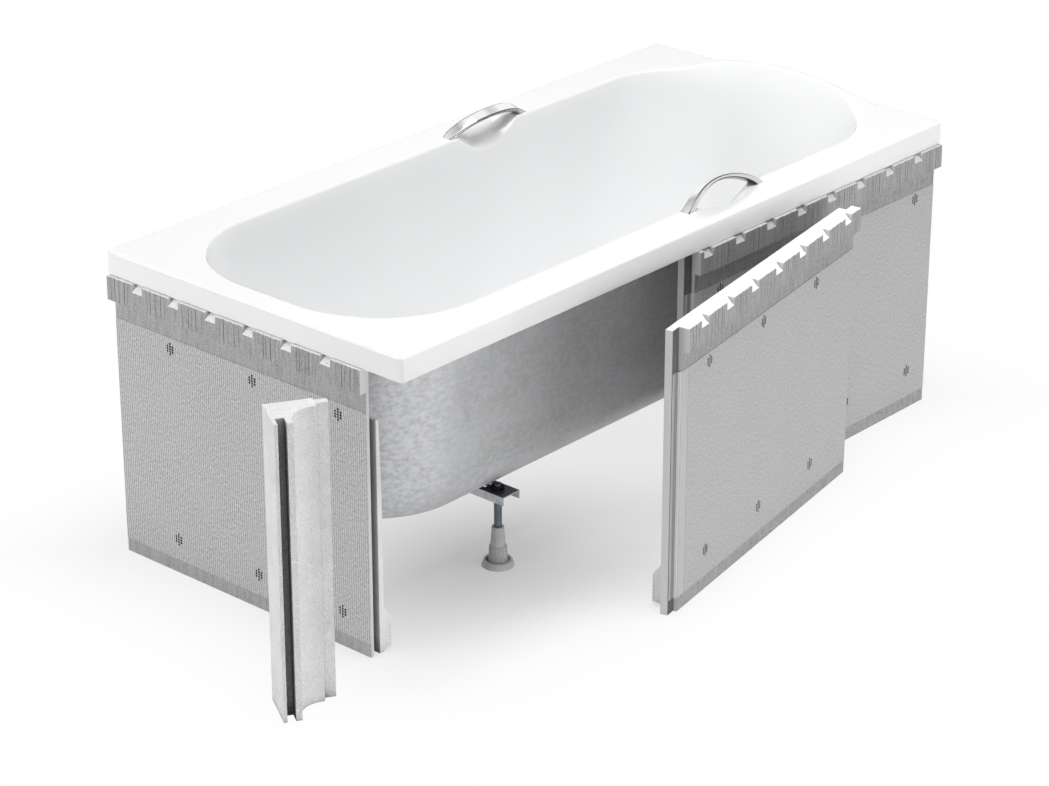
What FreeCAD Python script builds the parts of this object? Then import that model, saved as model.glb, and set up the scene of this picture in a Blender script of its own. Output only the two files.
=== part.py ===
import FreeCAD, Part
import os
import re
import Sketcher

# A skirted bathtub: an enamelled steel tub on four screw feet, with bow grips in its rim and a kit of
# foam panels that close its front and its foot end. One front panel and the corner post stand apart.
# The origin lies on the floor under the tub's centre. X runs from foot end to head end, the front is -Y.

SIZES = {
    # Rim plate and turned-down apron of the tub
    "tub_length": 1700,
    "tub_width": 800,
    "rim_height": 660,
    "apron_height": 50,
    "sheet_wall": 2.5,
    "rim_corner": 8,
    "rim_round": 5,
    # Basin: outline at the rim, outline at the floor and the round between floor and walls
    "side_rim": 88,
    "foot_rim": 53,
    "head_rim": 50,
    "floor_height": 170,
    "floor_side_inset": 158.5,
    "floor_foot_inset": 92,
    "floor_head_inset": 250,
    "floor_round": 96,
    # Corner radii of the basin as shares of the floor's half width
    "foot_corner_share": 0.97,
    "head_corner_share": 0.87,
    # Raised head end of the rim
    "head_rise": 34,
    "head_side_inset": 160,
    "head_margin": 14,
    "head_depth": 100,
    "head_round": 12,
    # Waste hole in the floor and overflow hole in the foot wall
    "waste_radius": 26,
    "waste_inset": 250,
    "overflow_radius": 26,
    "overflow_drop": 95,
    # Grips and the hand recesses under them
    "grip_x": 178,
    "grip_inset": 15,
    "grip_span": 204,
    "grip_foot": 20,
    "grip_rise": 42,
    "grip_thick": 8.5,
    "grip_width": 24,
    "grip_bevel": 2.5,
    "grip_tap": 5,
    "stud_inset": 7,
    "stud_radius": 3,
    "stud_tail": 12,
    "grip_nut_across": 10,
    "grip_nut_height": 5,
    "grip_washer_radius": 7,
    "grip_washer_height": 1.2,
    "recess_length": 200,
    "recess_dip": 40,
    "recess_reach": 50,
    # Screw feet under two channel beams
    "foot_spread": 780,
    "foot_inset": 22,
    "beam_width": 50,
    "beam_height": 18,
    "beam_wall": 2.5,
    "beam_end": 36,
    "slot_width": 7,
    "slot_length": 16,
    "slot_gap": 8,
    "slot_inset": 24,
    "rod_radius": 8,
    "rod_top": 12,
    "rod_engage": 38,
    "rod_nut_across": 24,
    "rod_nut_height": 8,
    "sleeve_top": 86,
    "sleeve_step": 43,
    "sleeve_top_radius": 13,
    "sleeve_neck_radius": 16,
    "sleeve_shoulder_radius": 18.5,
    "sleeve_base_radius": 21,
    "base_radius": 34,
    "base_height": 12,
    "base_floor": 5,
    "base_lip": 4,
    "cup_radius": 25,
    "spigot_height": 5,
    # Foam panels: three plies with a tongue and a groove, a rear block and a notched strip
    "panel_gap": 0.5,
    "face_setback": 7,
    "end_inset": 12,
    "face_ply": 7,
    "core_ply": 17,
    "rear_ply": 12,
    "tongue_reach": 25,
    "rear_drop": 115,
    "rear_taper": 160,
    "rear_top": 7,
    "block_thick": 19,
    "block_low": 8,
    "block_high": 95,
    "block_taper": 26,
    "score_width": 2,
    "score_depth": 4,
    "score_pitch": 8,
    "score_low": 18,
    "score_count": 5,
    "strip_height": 50,
    "strip_thick": 16,
    "strip_overhang": 4,
    "notch_start": 10,
    "end_notch_start": 68,
    "left_notch_start": 49,
    "notch_width": 29,
    "notch_drop": 16,
    "notch_pitch": 103,
    "notch_tail": 36,
    "kerf_width": 1.2,
    "kerf_depth": 4,
    "kerf_pitch": 25,
    "right_length": 828,
    "joint_gap": 10,
    # Fleece on the panels and the mesh flap that laps over each front joint
    "fleece_thick": 1,
    "fleece_drop": 42,
    "fleece_low": 30,
    "flap_lap": 27,
    "flap_slope": 10,
    "flap_reach": 23,
    # Corner post
    "post_leg": 93,
    "post_cove": 50,
    # Where the loose front panel and the loose corner post stand, and their turns in degrees
    "left_along": 46,
    "left_out": 159,
    "left_turn": 10.4,
    "post_beyond": 231.6,
    "post_inboard": 128.7,
    "post_turn": 121.4,
    "square_turn": 90,
    "full_turn": 360,
    # Clearances and helpers
    "fit_gap": 0.3,
    "tongue_ease": 0.5,
    "overrun": 20,
    "match_gap": 0.02,
}

doc = FreeCAD.newDocument("SkirtedBathtub")
sheet = doc.addObject("Spreadsheet::Sheet", "Sizes")
for row, (alias, size) in enumerate(SIZES.items(), start=1):
    sheet.set(f"A{row}", alias)
    sheet.set(f"B{row}", str(size))
    sheet.setAlias(f"B{row}", alias)
doc.recompute()

WORD = re.compile(r"[a-z_]{3,}")
FACETS = 12
FLATS = f"cos(full_turn / (2 * {FACETS}))"
UP = FreeCAD.Vector(0, 0, 1)
DOWN = FreeCAD.Vector(0, 0, -1)
NODES = []


def bound(expression):
    """The expression with the sheet's name before each size."""
    return WORD.sub(lambda m: f"Sizes.{m.group(0)}" if m.group(0) in SIZES else m.group(0), expression)


def value(expression):
    return float(sheet.evalExpression(bound(expression)))


def bind(obj, prop, expression):
    obj.setExpression(prop, bound(expression))


def place(obj, x, y, z="0", turn="0", axis=UP):
    """Puts an object at a point, turned about an axis, with its place bound to the sheet."""
    point = FreeCAD.Vector(value(x), value(y), value(z))
    obj.Placement = FreeCAD.Placement(point, FreeCAD.Rotation(axis, value(turn)))
    bind(obj, "Placement.Base.x", x)
    bind(obj, "Placement.Base.y", y)
    bind(obj, "Placement.Base.z", z)
    if turn != "0":
        bind(obj, "Placement.Rotation.Angle", turn)


def new_body(label, node=True):
    body = doc.addObject("PartDesign::Body", label)
    body.Label = label
    if node:
        NODES.append(body)
    return body


def group(label, members):
    """One node of several separate solids that are alike."""
    compound = doc.addObject("Part::Compound", label)
    compound.Label = label
    compound.Links = members
    NODES.append(compound)


def origin_part(body, role):
    return next(part for part in body.Origin.OriginFeatures if part.Role == role)


def sketch_on(body, name, role, offset="0"):
    sketch = body.newObject("Sketcher::SketchObject", name)
    sketch.AttachmentSupport = [(origin_part(body, role), "")]
    sketch.MapMode = "FlatFace"
    bind(sketch, "AttachmentOffset.Base.z", offset)
    return sketch


def fix_point(sketch, geo, end, x, y):
    """Ties a point to the sketch's origin, on an axis where its distance is zero."""
    for kind, expression, axis in (("DistanceX", x, -2), ("DistanceY", y, -1)):
        if expression == "0":
            sketch.addConstraint(Sketcher.Constraint("PointOnObject", geo, end, axis))
        else:
            n = sketch.addConstraint(Sketcher.Constraint(kind, -1, 1, geo, end, value(expression)))
            bind(sketch, f"Constraints[{n}]", expression)


def fix_radius(sketch, geo, expression):
    n = sketch.addConstraint(Sketcher.Constraint("Radius", geo, value(expression)))
    bind(sketch, f"Constraints[{n}]", expression)


def polygon(sketch, points, arcs=None):
    """A closed outline through points. An arc is (radius, side) under the number of its first point."""
    arcs = arcs or {}
    first = sketch.GeometryCount
    at = [FreeCAD.Vector(value(x), value(y), 0) for x, y in points]
    ends = []
    for i, start in enumerate(at):
        end = at[(i + 1) % len(at)]
        if i in arcs:
            radius, side = arcs[i]
            chord = end - start
            away = FreeCAD.Vector(chord.y, -chord.x, 0).normalize() * side
            rise = value(radius) - (value(radius) ** 2 - (chord.Length / 2) ** 2) ** 0.5
            first_end, last_end = (start, end) if side > 0 else (end, start)
            sketch.addGeometry(Part.Arc(first_end, (start + end) * 0.5 + away * rise, last_end), False)
        else:
            sketch.addGeometry(Part.LineSegment(start, end), False)
        made = sketch.Geometry[first + i]
        swapped = (made.StartPoint - start).Length > (made.EndPoint - start).Length
        ends.append((2, 1) if swapped else (1, 2))
    for i, (x, y) in enumerate(points):
        j = (i + 1) % len(points)
        joint = Sketcher.Constraint("Coincident", first + i, ends[i][1], first + j, ends[j][0])
        sketch.addConstraint(joint)
        fix_point(sketch, first + i, ends[i][0], x, y)
        if i in arcs:
            fix_radius(sketch, first + i, arcs[i][0])


def rectangle(sketch, left, right, low, high):
    polygon(sketch, [(left, low), (right, low), (right, high), (left, high)])


def flat_sided(sketch, x, y, radius):
    """An outline of flat sides about a point, for holes and pins that don't show. Radius is to its corners."""
    turns = [f"{n} * full_turn / {FACETS}" for n in range(FACETS)]
    polygon(sketch, [(f"{x} + {radius} * cos({turn})", f"{y} + {radius} * sin({turn})") for turn in turns])


def circle(sketch, x, y, radius):
    centre = FreeCAD.Vector(value(x), value(y), 0)
    geo = sketch.addGeometry(Part.Circle(centre, UP, value(radius)), False)
    fix_point(sketch, geo, 3, x, y)
    fix_radius(sketch, geo, radius)


def rounded(sketch, left, right, half, left_radius, right_radius):
    """A rectangle about the X axis with one corner radius at each end."""
    low, high = f"-({half})", half
    near, far = f"{left} + {left_radius}", f"{right} - ({right_radius})"
    lower, upper = f"{right_radius} - ({half})", f"{half} - ({right_radius})"
    below, above = f"{left_radius} - ({half})", f"{half} - ({left_radius})"
    corners = [(near, low), (far, low), (right, lower), (right, upper), (far, high), (near, high)]
    corners += [(left, above), (left, below)]
    arcs = {1: (right_radius, 1), 3: (right_radius, 1), 5: (left_radius, 1), 7: (left_radius, 1)}
    polygon(sketch, corners, arcs)


def feature(body, kind, name, sketch, length, **options):
    made = body.newObject(f"PartDesign::{kind}", name)
    made.Profile = sketch
    bind(made, "Length", length)
    for option, setting in options.items():
        setattr(made, option, setting)
    return made


def revolve(body, name, points):
    """A solid of revolution about Z from an outline of radius and height."""
    outline = sketch_on(body, f"{name}_outline", "XZ_Plane")
    polygon(outline, points)
    made = body.newObject("PartDesign::Revolution", name)
    made.Profile = outline
    made.ReferenceAxis = (outline, ["V_Axis"])
    return made


def row_of(body, name, original, role, length, count):
    """Repeats a cut along one of the body's axes."""
    made = body.newObject("PartDesign::LinearPattern", name)
    made.Originals = [original]
    made.Direction = (origin_part(body, role), [""])
    bind(made, "Length", length)
    bind(made, "Occurrences", count)
    body.Tip = made
    return made


def soften(body, kind, name, size, chosen):
    """Rounds or bevels the edges of the body's shape that a test picks."""
    doc.recompute()
    base = body.Tip
    picked = [f"Edge{i}" for i, edge in enumerate(base.Shape.Edges, start=1) if chosen(edge, edge.BoundBox)]
    made = body.newObject(f"PartDesign::{kind}", name)
    made.Base = (base, picked)
    bind(made, "Radius" if kind == "Fillet" else "Size", size)
    doc.recompute()


def level_at(box, height):
    near = value("match_gap")
    return abs(box.ZMin - value(height)) < near and abs(box.ZMax - value(height)) < near


# The tub: one pressed sheet, of one thickness throughout.
LEFT, RIGHT = "-(tub_length / 2 - foot_rim)", "(tub_length / 2 - head_rim)"
HALF, FLOOR_HALF = "(tub_width / 2 - side_rim)", "(tub_width / 2 - floor_side_inset)"
FLOOR_LEFT, FLOOR_RIGHT = "-(tub_length / 2 - floor_foot_inset)", "(tub_length / 2 - floor_head_inset)"
WALL_DROP = "(rim_height - floor_height)"
PLATE_LOW = "rim_height - sheet_wall"
GRIP_Y = f"({HALF} + grip_inset)"
STUD_X = "(grip_span / 2 + stud_inset)"
STUD_HOLE = f"((stud_radius + fit_gap) / {FLATS})"

tub = new_body("tub_shell")
rim = sketch_on(tub, "rim_outline", "XY_Plane", "rim_height - apron_height")
rounded(rim, "-tub_length / 2", "tub_length / 2", "tub_width / 2", "rim_corner", "rim_corner")
feature(tub, "Pad", "rim_slab", rim, "apron_height")
inside = sketch_on(tub, "apron_inside", "XY_Plane", "rim_height - apron_height")
rounded(
    inside,
    "-tub_length / 2 + sheet_wall",
    "tub_length / 2 - sheet_wall",
    "tub_width / 2 - sheet_wall",
    "rim_corner - sheet_wall",
    "rim_corner - sheet_wall",
)
feature(tub, "Pocket", "apron_hollow", inside, "apron_height - sheet_wall", Reversed=True)


def basin(name, grow, low, high, past):
    """A form with four sloping walls and rounded corners. Past is its run beyond the rim in wall heights."""
    form = new_body(name, node=False)
    side = sketch_on(form, f"{name}_side", "XZ_Plane", "-tub_width / 2")
    corners = [(f"{FLOOR_LEFT} - {grow}", low), (f"{FLOOR_RIGHT} + {grow}", low)]
    corners.append((f"{RIGHT} + {grow} + ({RIGHT} - {FLOOR_RIGHT}) * {past}", high))
    corners.append((f"{LEFT} - {grow} + ({LEFT} - ({FLOOR_LEFT})) * {past}", high))
    polygon(side, corners)
    feature(form, "Pad", f"{name}_length", side, "tub_width")
    section = sketch_on(form, f"{name}_section", "YZ_Plane", "-tub_length")
    for hand in (-1, 1):
        top = f"{hand} * ({HALF} + {grow} + ({HALF} - {FLOOR_HALF}) * {past})"
        corners = [(f"{hand} * ({FLOOR_HALF} + {grow})", low), (top, high)]
        polygon(section, corners + [(f"{hand} * tub_width", high), (f"{hand} * tub_width", low)])
    feature(form, "Pocket", f"{name}_slopes", section, "tub_length * 2", Reversed=True)
    for hand, end in ((-1, "foot"), (1, "head")):
        soften(
            form,
            "Fillet",
            f"{name}_{end}_corners",
            f"{end}_corner_share * {FLOOR_HALF} + {grow}",
            lambda edge, box: box.ZLength > value("floor_height") and edge.CenterOfMass.x * hand > 0,
        )
    soften(form, "Fillet", f"{name}_floor", f"floor_round + {grow}", lambda edge, box: level_at(box, low))
    return form


def combine(body, kind, name, form):
    made = body.newObject("PartDesign::Boolean", name)
    made.Type = kind
    made.addObjects([form])


outside = basin("basin_form", "sheet_wall", "floor_height", "rim_height", "0")
combine(tub, "Fuse", "basin_outside", outside)

# A hand recess is part of a slanting cylinder, deepest at the basin and run out on the rim.
TILT = "atan(recess_dip / recess_reach)"
DEPTH = f"(recess_dip * cos({TILT}))"
SCOOP = f"(((recess_length / 2) ^ 2 + {DEPTH} ^ 2) / (2 * {DEPTH}))"


def scoop(name, kind, side, grow):
    made = tub.newObject(f"PartDesign::{kind}Cylinder", name)
    bind(made, "Radius", f"{SCOOP} + {grow}")
    bind(made, "Height", "recess_reach * 4")
    place(
        made,
        "grip_x",
        f"{side} * ({HALF} - {SCOOP} * sin({TILT}) - recess_reach * 2 * cos({TILT}))",
        f"rim_height - recess_dip + {SCOOP} * cos({TILT}) - recess_reach * 2 * sin({TILT})",
        "atan(recess_reach / recess_dip)",
        FreeCAD.Vector(-side, 0, 0),
    )


for side, word in ((-1, "front"), (1, "back")):
    scoop(f"{word}_recess_skin", "Additive", side, "sheet_wall")
above_rim = sketch_on(tub, "above_rim", "XY_Plane", "rim_height")
rectangle(above_rim, "-tub_length", "tub_length", "-tub_width", "tub_width")
feature(tub, "Pocket", "rim_trim", above_rim, "tub_length", Reversed=True)

# The head end rises in a flat arch.
ARCH = "(((tub_width / 2 - head_side_inset) ^ 2 + head_rise ^ 2) / (2 * head_rise))"
arch = sketch_on(tub, "head_arch", "YZ_Plane", f"{RIGHT} - head_depth")
arch_points = [
    ("-(tub_width / 2 - head_side_inset)", PLATE_LOW),
    ("(tub_width / 2 - head_side_inset)", PLATE_LOW),
    ("(tub_width / 2 - head_side_inset)", "rim_height"),
    ("-(tub_width / 2 - head_side_inset)", "rim_height"),
]
polygon(arch, arch_points, {2: (ARCH, 1)})
feature(tub, "Pad", "head_raise", arch, "head_depth + head_rim - head_margin")

# The cavity follows the outside at one sheet's distance and runs on past the rim along its slope.
GROW = f"((head_rise + overrun) / {WALL_DROP})"
cavity = basin("cavity_form", "0", "floor_height + sheet_wall", "rim_height + head_rise + overrun", GROW)
combine(tub, "Cut", "basin_cavity", cavity)
for side, word in ((-1, "front"), (1, "back")):
    scoop(f"{word}_recess", "Subtractive", side, "0")


def on_arch(edge, box):
    raised = box.ZMax > value("rim_height + head_rise / 2")
    return edge.Curve.TypeId == "Part::GeomCircle" and raised and box.XLength < value("match_gap")


def on_rim_edge(edge, box):
    middle = edge.CenterOfMass
    outer = abs(middle.x) > value("tub_length / 2 - rim_corner")
    return level_at(box, "rim_height") and (outer or abs(middle.y) > value("tub_width / 2 - rim_corner"))


soften(tub, "Fillet", "arch_edge", "head_round", on_arch)
soften(tub, "Fillet", "rim_edge", "rim_round", on_rim_edge)

WASTE_X = "-(tub_length / 2 - waste_inset)"
holes = sketch_on(tub, "waste_outline", "XY_Plane", "floor_height + sheet_wall + overrun")
circle(holes, WASTE_X, "0", "waste_radius")
feature(tub, "Pocket", "waste_hole", holes, "sheet_wall + overrun * 2")
LEAN = f"atan((floor_foot_inset - foot_rim) / {WALL_DROP})"
overflow = tub.newObject("PartDesign::SubtractiveCylinder", "overflow_hole")
bind(overflow, "Radius", "overflow_radius")
bind(overflow, "Height", "overrun * 2")
place(
    overflow,
    f"{LEFT} + overflow_drop * tan({LEAN}) - overrun * cos({LEAN})",
    "0",
    f"rim_height - overflow_drop - overrun * sin({LEAN})",
    f"atan({WALL_DROP} / (floor_foot_inset - foot_rim))",
    FreeCAD.Vector(0, 1, 0),
)
studs = sketch_on(tub, "stud_outline", "XY_Plane", "rim_height + overrun")
for side in (-1, 1):
    for end in (-1, 1):
        flat_sided(studs, f"grip_x + {end} * {STUD_X}", f"{side} * {GRIP_Y}", STUD_HOLE)
feature(tub, "Pocket", "stud_holes", studs, "sheet_wall + overrun * 2")

# Bow grips with a stud under each foot, held by a washer-faced nut below the rim plate.
OUT_HALF, IN_HALF = "(grip_span / 2 + grip_foot)", "(grip_span / 2)"
IN_RISE = "(grip_rise - grip_thick)"
OUT_ARC = f"(({OUT_HALF} ^ 2 + grip_rise ^ 2) / (2 * grip_rise))"
IN_ARC = f"(({IN_HALF} ^ 2 + {IN_RISE} ^ 2) / (2 * {IN_RISE}))"


def hexagon(sketch, across):
    corners = []
    for turn in range(0, 360, 60):
        corners.append((f"{across} / sqrt(3) * cos({turn})", f"{across} / sqrt(3) * sin({turn})"))
    corners[0] = (f"{across} / sqrt(3)", "0")
    corners[3] = (f"-{across} / sqrt(3)", "0")
    polygon(sketch, corners)


def nut(label, x, y, z, across, height, bore):
    body = new_body(label, node=False)
    outline = sketch_on(body, f"{label}_hexagon", "XY_Plane")
    hexagon(outline, across)
    flat_sided(outline, "0", "0", bore)
    feature(body, "Pad", f"{label}_pad", outline, height)
    place(body, x, y, z)
    return body


def on_band(edge, box):
    return edge.Curve.TypeId == "Part::GeomCircle"


stud_solids, nut_solids = [], []
for side, word in ((-1, "front"), (1, "back")):
    grip = new_body(f"grip_{word}")
    bow = sketch_on(grip, f"{word}_bow", "XZ_Plane", "-grip_width / 2")
    feet = [(f"-{OUT_HALF}", "0"), (f"-{IN_HALF}", "0"), (IN_HALF, "0"), (OUT_HALF, "0")]
    polygon(bow, feet, {1: (IN_ARC, -1), 3: (OUT_ARC, 1)})
    feature(grip, "Pad", f"{word}_band", bow, "grip_width")
    soften(grip, "Chamfer", f"{word}_band_edges", "grip_bevel", on_band)
    taps = sketch_on(grip, f"{word}_taps", "XY_Plane")
    for end in (-1, 1):
        flat_sided(taps, f"{end} * {STUD_X}", "0", STUD_HOLE)
    feature(grip, "Pocket", f"{word}_tap_holes", taps, "grip_tap", Reversed=True)
    place(grip, "grip_x", f"{side} * {GRIP_Y}", "rim_height")
    for end, place_word in ((-1, "left"), (1, "right")):
        x, y = f"grip_x + {end} * {STUD_X}", f"{side} * {GRIP_Y}"
        stud = doc.addObject("Part::Prism", f"stud_{word}_{place_word}")
        stud.Polygon = FACETS
        bind(stud, "Circumradius", "stud_radius")
        bind(stud, "Height", "grip_tap + sheet_wall + stud_tail")
        place(stud, x, y, "rim_height - sheet_wall - stud_tail")
        stud_solids.append(stud)
        label = f"grip_nut_{word}_{place_word}"
        low = f"{PLATE_LOW} - grip_washer_height - grip_nut_height"
        fastener = nut(label, x, y, low, "grip_nut_across", "grip_nut_height", STUD_HOLE)
        washer = sketch_on(fastener, f"{label}_washer", "XY_Plane", "grip_nut_height")
        flat_sided(washer, "0", "0", "grip_washer_radius")
        flat_sided(washer, "0", "0", STUD_HOLE)
        feature(fastener, "Pad", f"{label}_flange", washer, "grip_washer_height")
        nut_solids.append(fastener)
group("grip_studs", stud_solids)
group("grip_nuts", nut_solids)

# Two channel beams under the floor, each with a threaded rod at both ends.
FOOT_Y = f"({FLOOR_HALF} - foot_inset)"
BEAM_HALF = f"({FOOT_Y} + beam_end)"
WEB_LOW = "floor_height - beam_wall"
BORE = "(rod_radius + fit_gap)"
ROD_HOLE = f"({BORE} / {FLATS})"


def faceted(body, name, low, high, wide, narrow):
    """A length with flat sides between two heights, drafted from one radius to its corners to another."""
    ring = sketch_on(body, f"{name}_ring", "XY_Plane", low)
    flat_sided(ring, "0", "0", wide)
    prism = feature(body, "Pad", f"{name}_prism", ring, f"{high} - {low}")
    doc.recompute()
    sides, seat = [], None
    for i, face in enumerate(prism.Shape.Faces, start=1):
        box = face.BoundBox
        if level_at(box, low):
            seat = f"Face{i}"
        elif box.ZMin > value(low) - value("match_gap") and not level_at(box, high):
            sides.append(f"Face{i}")
    draft = body.newObject("PartDesign::Draft", name)
    draft.Base = (prism, sides)
    draft.NeutralPlane = (prism, [seat])
    bind(draft, "Angle", f"atan(({wide} - {narrow}) * {FLATS} / ({high} - {low}))")
    doc.recompute()


def beam(label, x):
    body = new_body(label)
    channel = sketch_on(body, f"{label}_channel", "XZ_Plane", f"-{BEAM_HALF}")
    half, within = "beam_width / 2", "(beam_width / 2 - beam_wall)"
    corners = [(f"-{half}", "0"), (f"-{within}", "0"), (f"-{within}", "beam_height - beam_wall")]
    corners += [(within, "beam_height - beam_wall"), (within, "0"), (half, "0")]
    corners += [(half, "beam_height"), (f"-{half}", "beam_height")]
    polygon(channel, corners)
    feature(body, "Pad", f"{label}_length", channel, f"{BEAM_HALF} * 2")
    web = sketch_on(body, f"{label}_web", "XY_Plane", "beam_height + overrun")
    for side in (-1, 1):
        flat_sided(web, "0", f"{side} * {FOOT_Y}", ROD_HOLE)
        for row in (-1, 1):
            inner, outer = f"{row} * slot_gap / 2", f"{row} * (slot_gap / 2 + slot_width)"
            near, far = f"({FOOT_Y} - slot_inset)", f"({FOOT_Y} - slot_inset - slot_length)"
            rectangle(web, inner, outer, f"{side} * {far}", f"{side} * {near}")
    feature(body, "Pocket", f"{label}_holes", web, "beam_wall + overrun * 2")
    place(body, x, "0", "floor_height - beam_height")


beam("foot_beam_left", "-foot_spread / 2")
beam("foot_beam_right", "foot_spread / 2")
rods, rod_nuts = [], []
corner = 0
for along in (-1, 1):
    for side in (-1, 1):
        corner += 1
        x, y = f"{along} * foot_spread / 2", f"{side} * {FOOT_Y}"
        rod = doc.addObject("Part::Cylinder", f"rod_{corner}")
        bind(rod, "Radius", "rod_radius")
        bind(rod, "Height", "floor_height + rod_top - sleeve_top + rod_engage")
        place(rod, x, y, "sleeve_top - rod_engage")
        rods.append(rod)
        for word, low in (("upper", "floor_height"), ("lower", f"{WEB_LOW} - rod_nut_height")):
            label = f"rod_nut_{word}_{corner}"
            rod_nuts.append(nut(label, x, y, low, "rod_nut_across", "rod_nut_height", ROD_HOLE))

        # The base is a cup with a spigot, on which the threaded sleeve turns.
        base = new_body(f"foot_{corner}_base")
        flange = [("0", "0"), ("base_radius", "0"), ("cup_radius + base_lip", "base_height"), ("0", "base_height")]
        revolve(base, f"base_{corner}", flange)
        cup = sketch_on(base, f"cup_{corner}_outline", "XY_Plane", "base_floor")
        flat_sided(cup, "0", "0", "cup_radius")
        feature(base, "Pocket", f"cup_{corner}", cup, "base_height", Reversed=True)
        spigot = sketch_on(base, f"spigot_{corner}_outline", "XY_Plane", "base_floor")
        flat_sided(spigot, "0", "0", "rod_radius")
        feature(base, "Pad", f"spigot_{corner}", spigot, "spigot_height")
        place(base, x, y)
        sleeve = new_body(f"foot_{corner}_sleeve")
        shank = ("base_floor", "sleeve_step", "sleeve_base_radius", "sleeve_shoulder_radius")
        faceted(sleeve, f"sleeve_{corner}_shank", *shank)
        neck = ("sleeve_step", "sleeve_top", "sleeve_neck_radius", "sleeve_top_radius")
        faceted(sleeve, f"sleeve_{corner}_neck", *neck)
        bore = sketch_on(sleeve, f"sleeve_{corner}_bore", "XY_Plane")
        circle(bore, "0", "0", BORE)
        feature(sleeve, "Pocket", f"sleeve_{corner}_thread", bore, "sleeve_top", Reversed=True)
        place(sleeve, x, y)
group("foot_rods", rods)
group("foot_nuts", rod_nuts)

# Foam panels. In a panel's own frame X runs along it from its left end as seen from outside, Y runs
# inwards from its outer face and Z up from the floor.
PANEL_HEIGHT = "(rim_height - apron_height - panel_gap)"
CORE_Y, REAR_Y = "face_ply", "(face_ply + core_ply)"
BACK_Y = "(face_ply + core_ply + rear_ply)"
TONGUE_Y = "(face_ply + tongue_ease)"
STRIP_LOW = f"({PANEL_HEIGHT} - strip_height)"
FLEECE_HEIGHT = f"({STRIP_LOW} - fleece_drop - fleece_low)"


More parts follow.
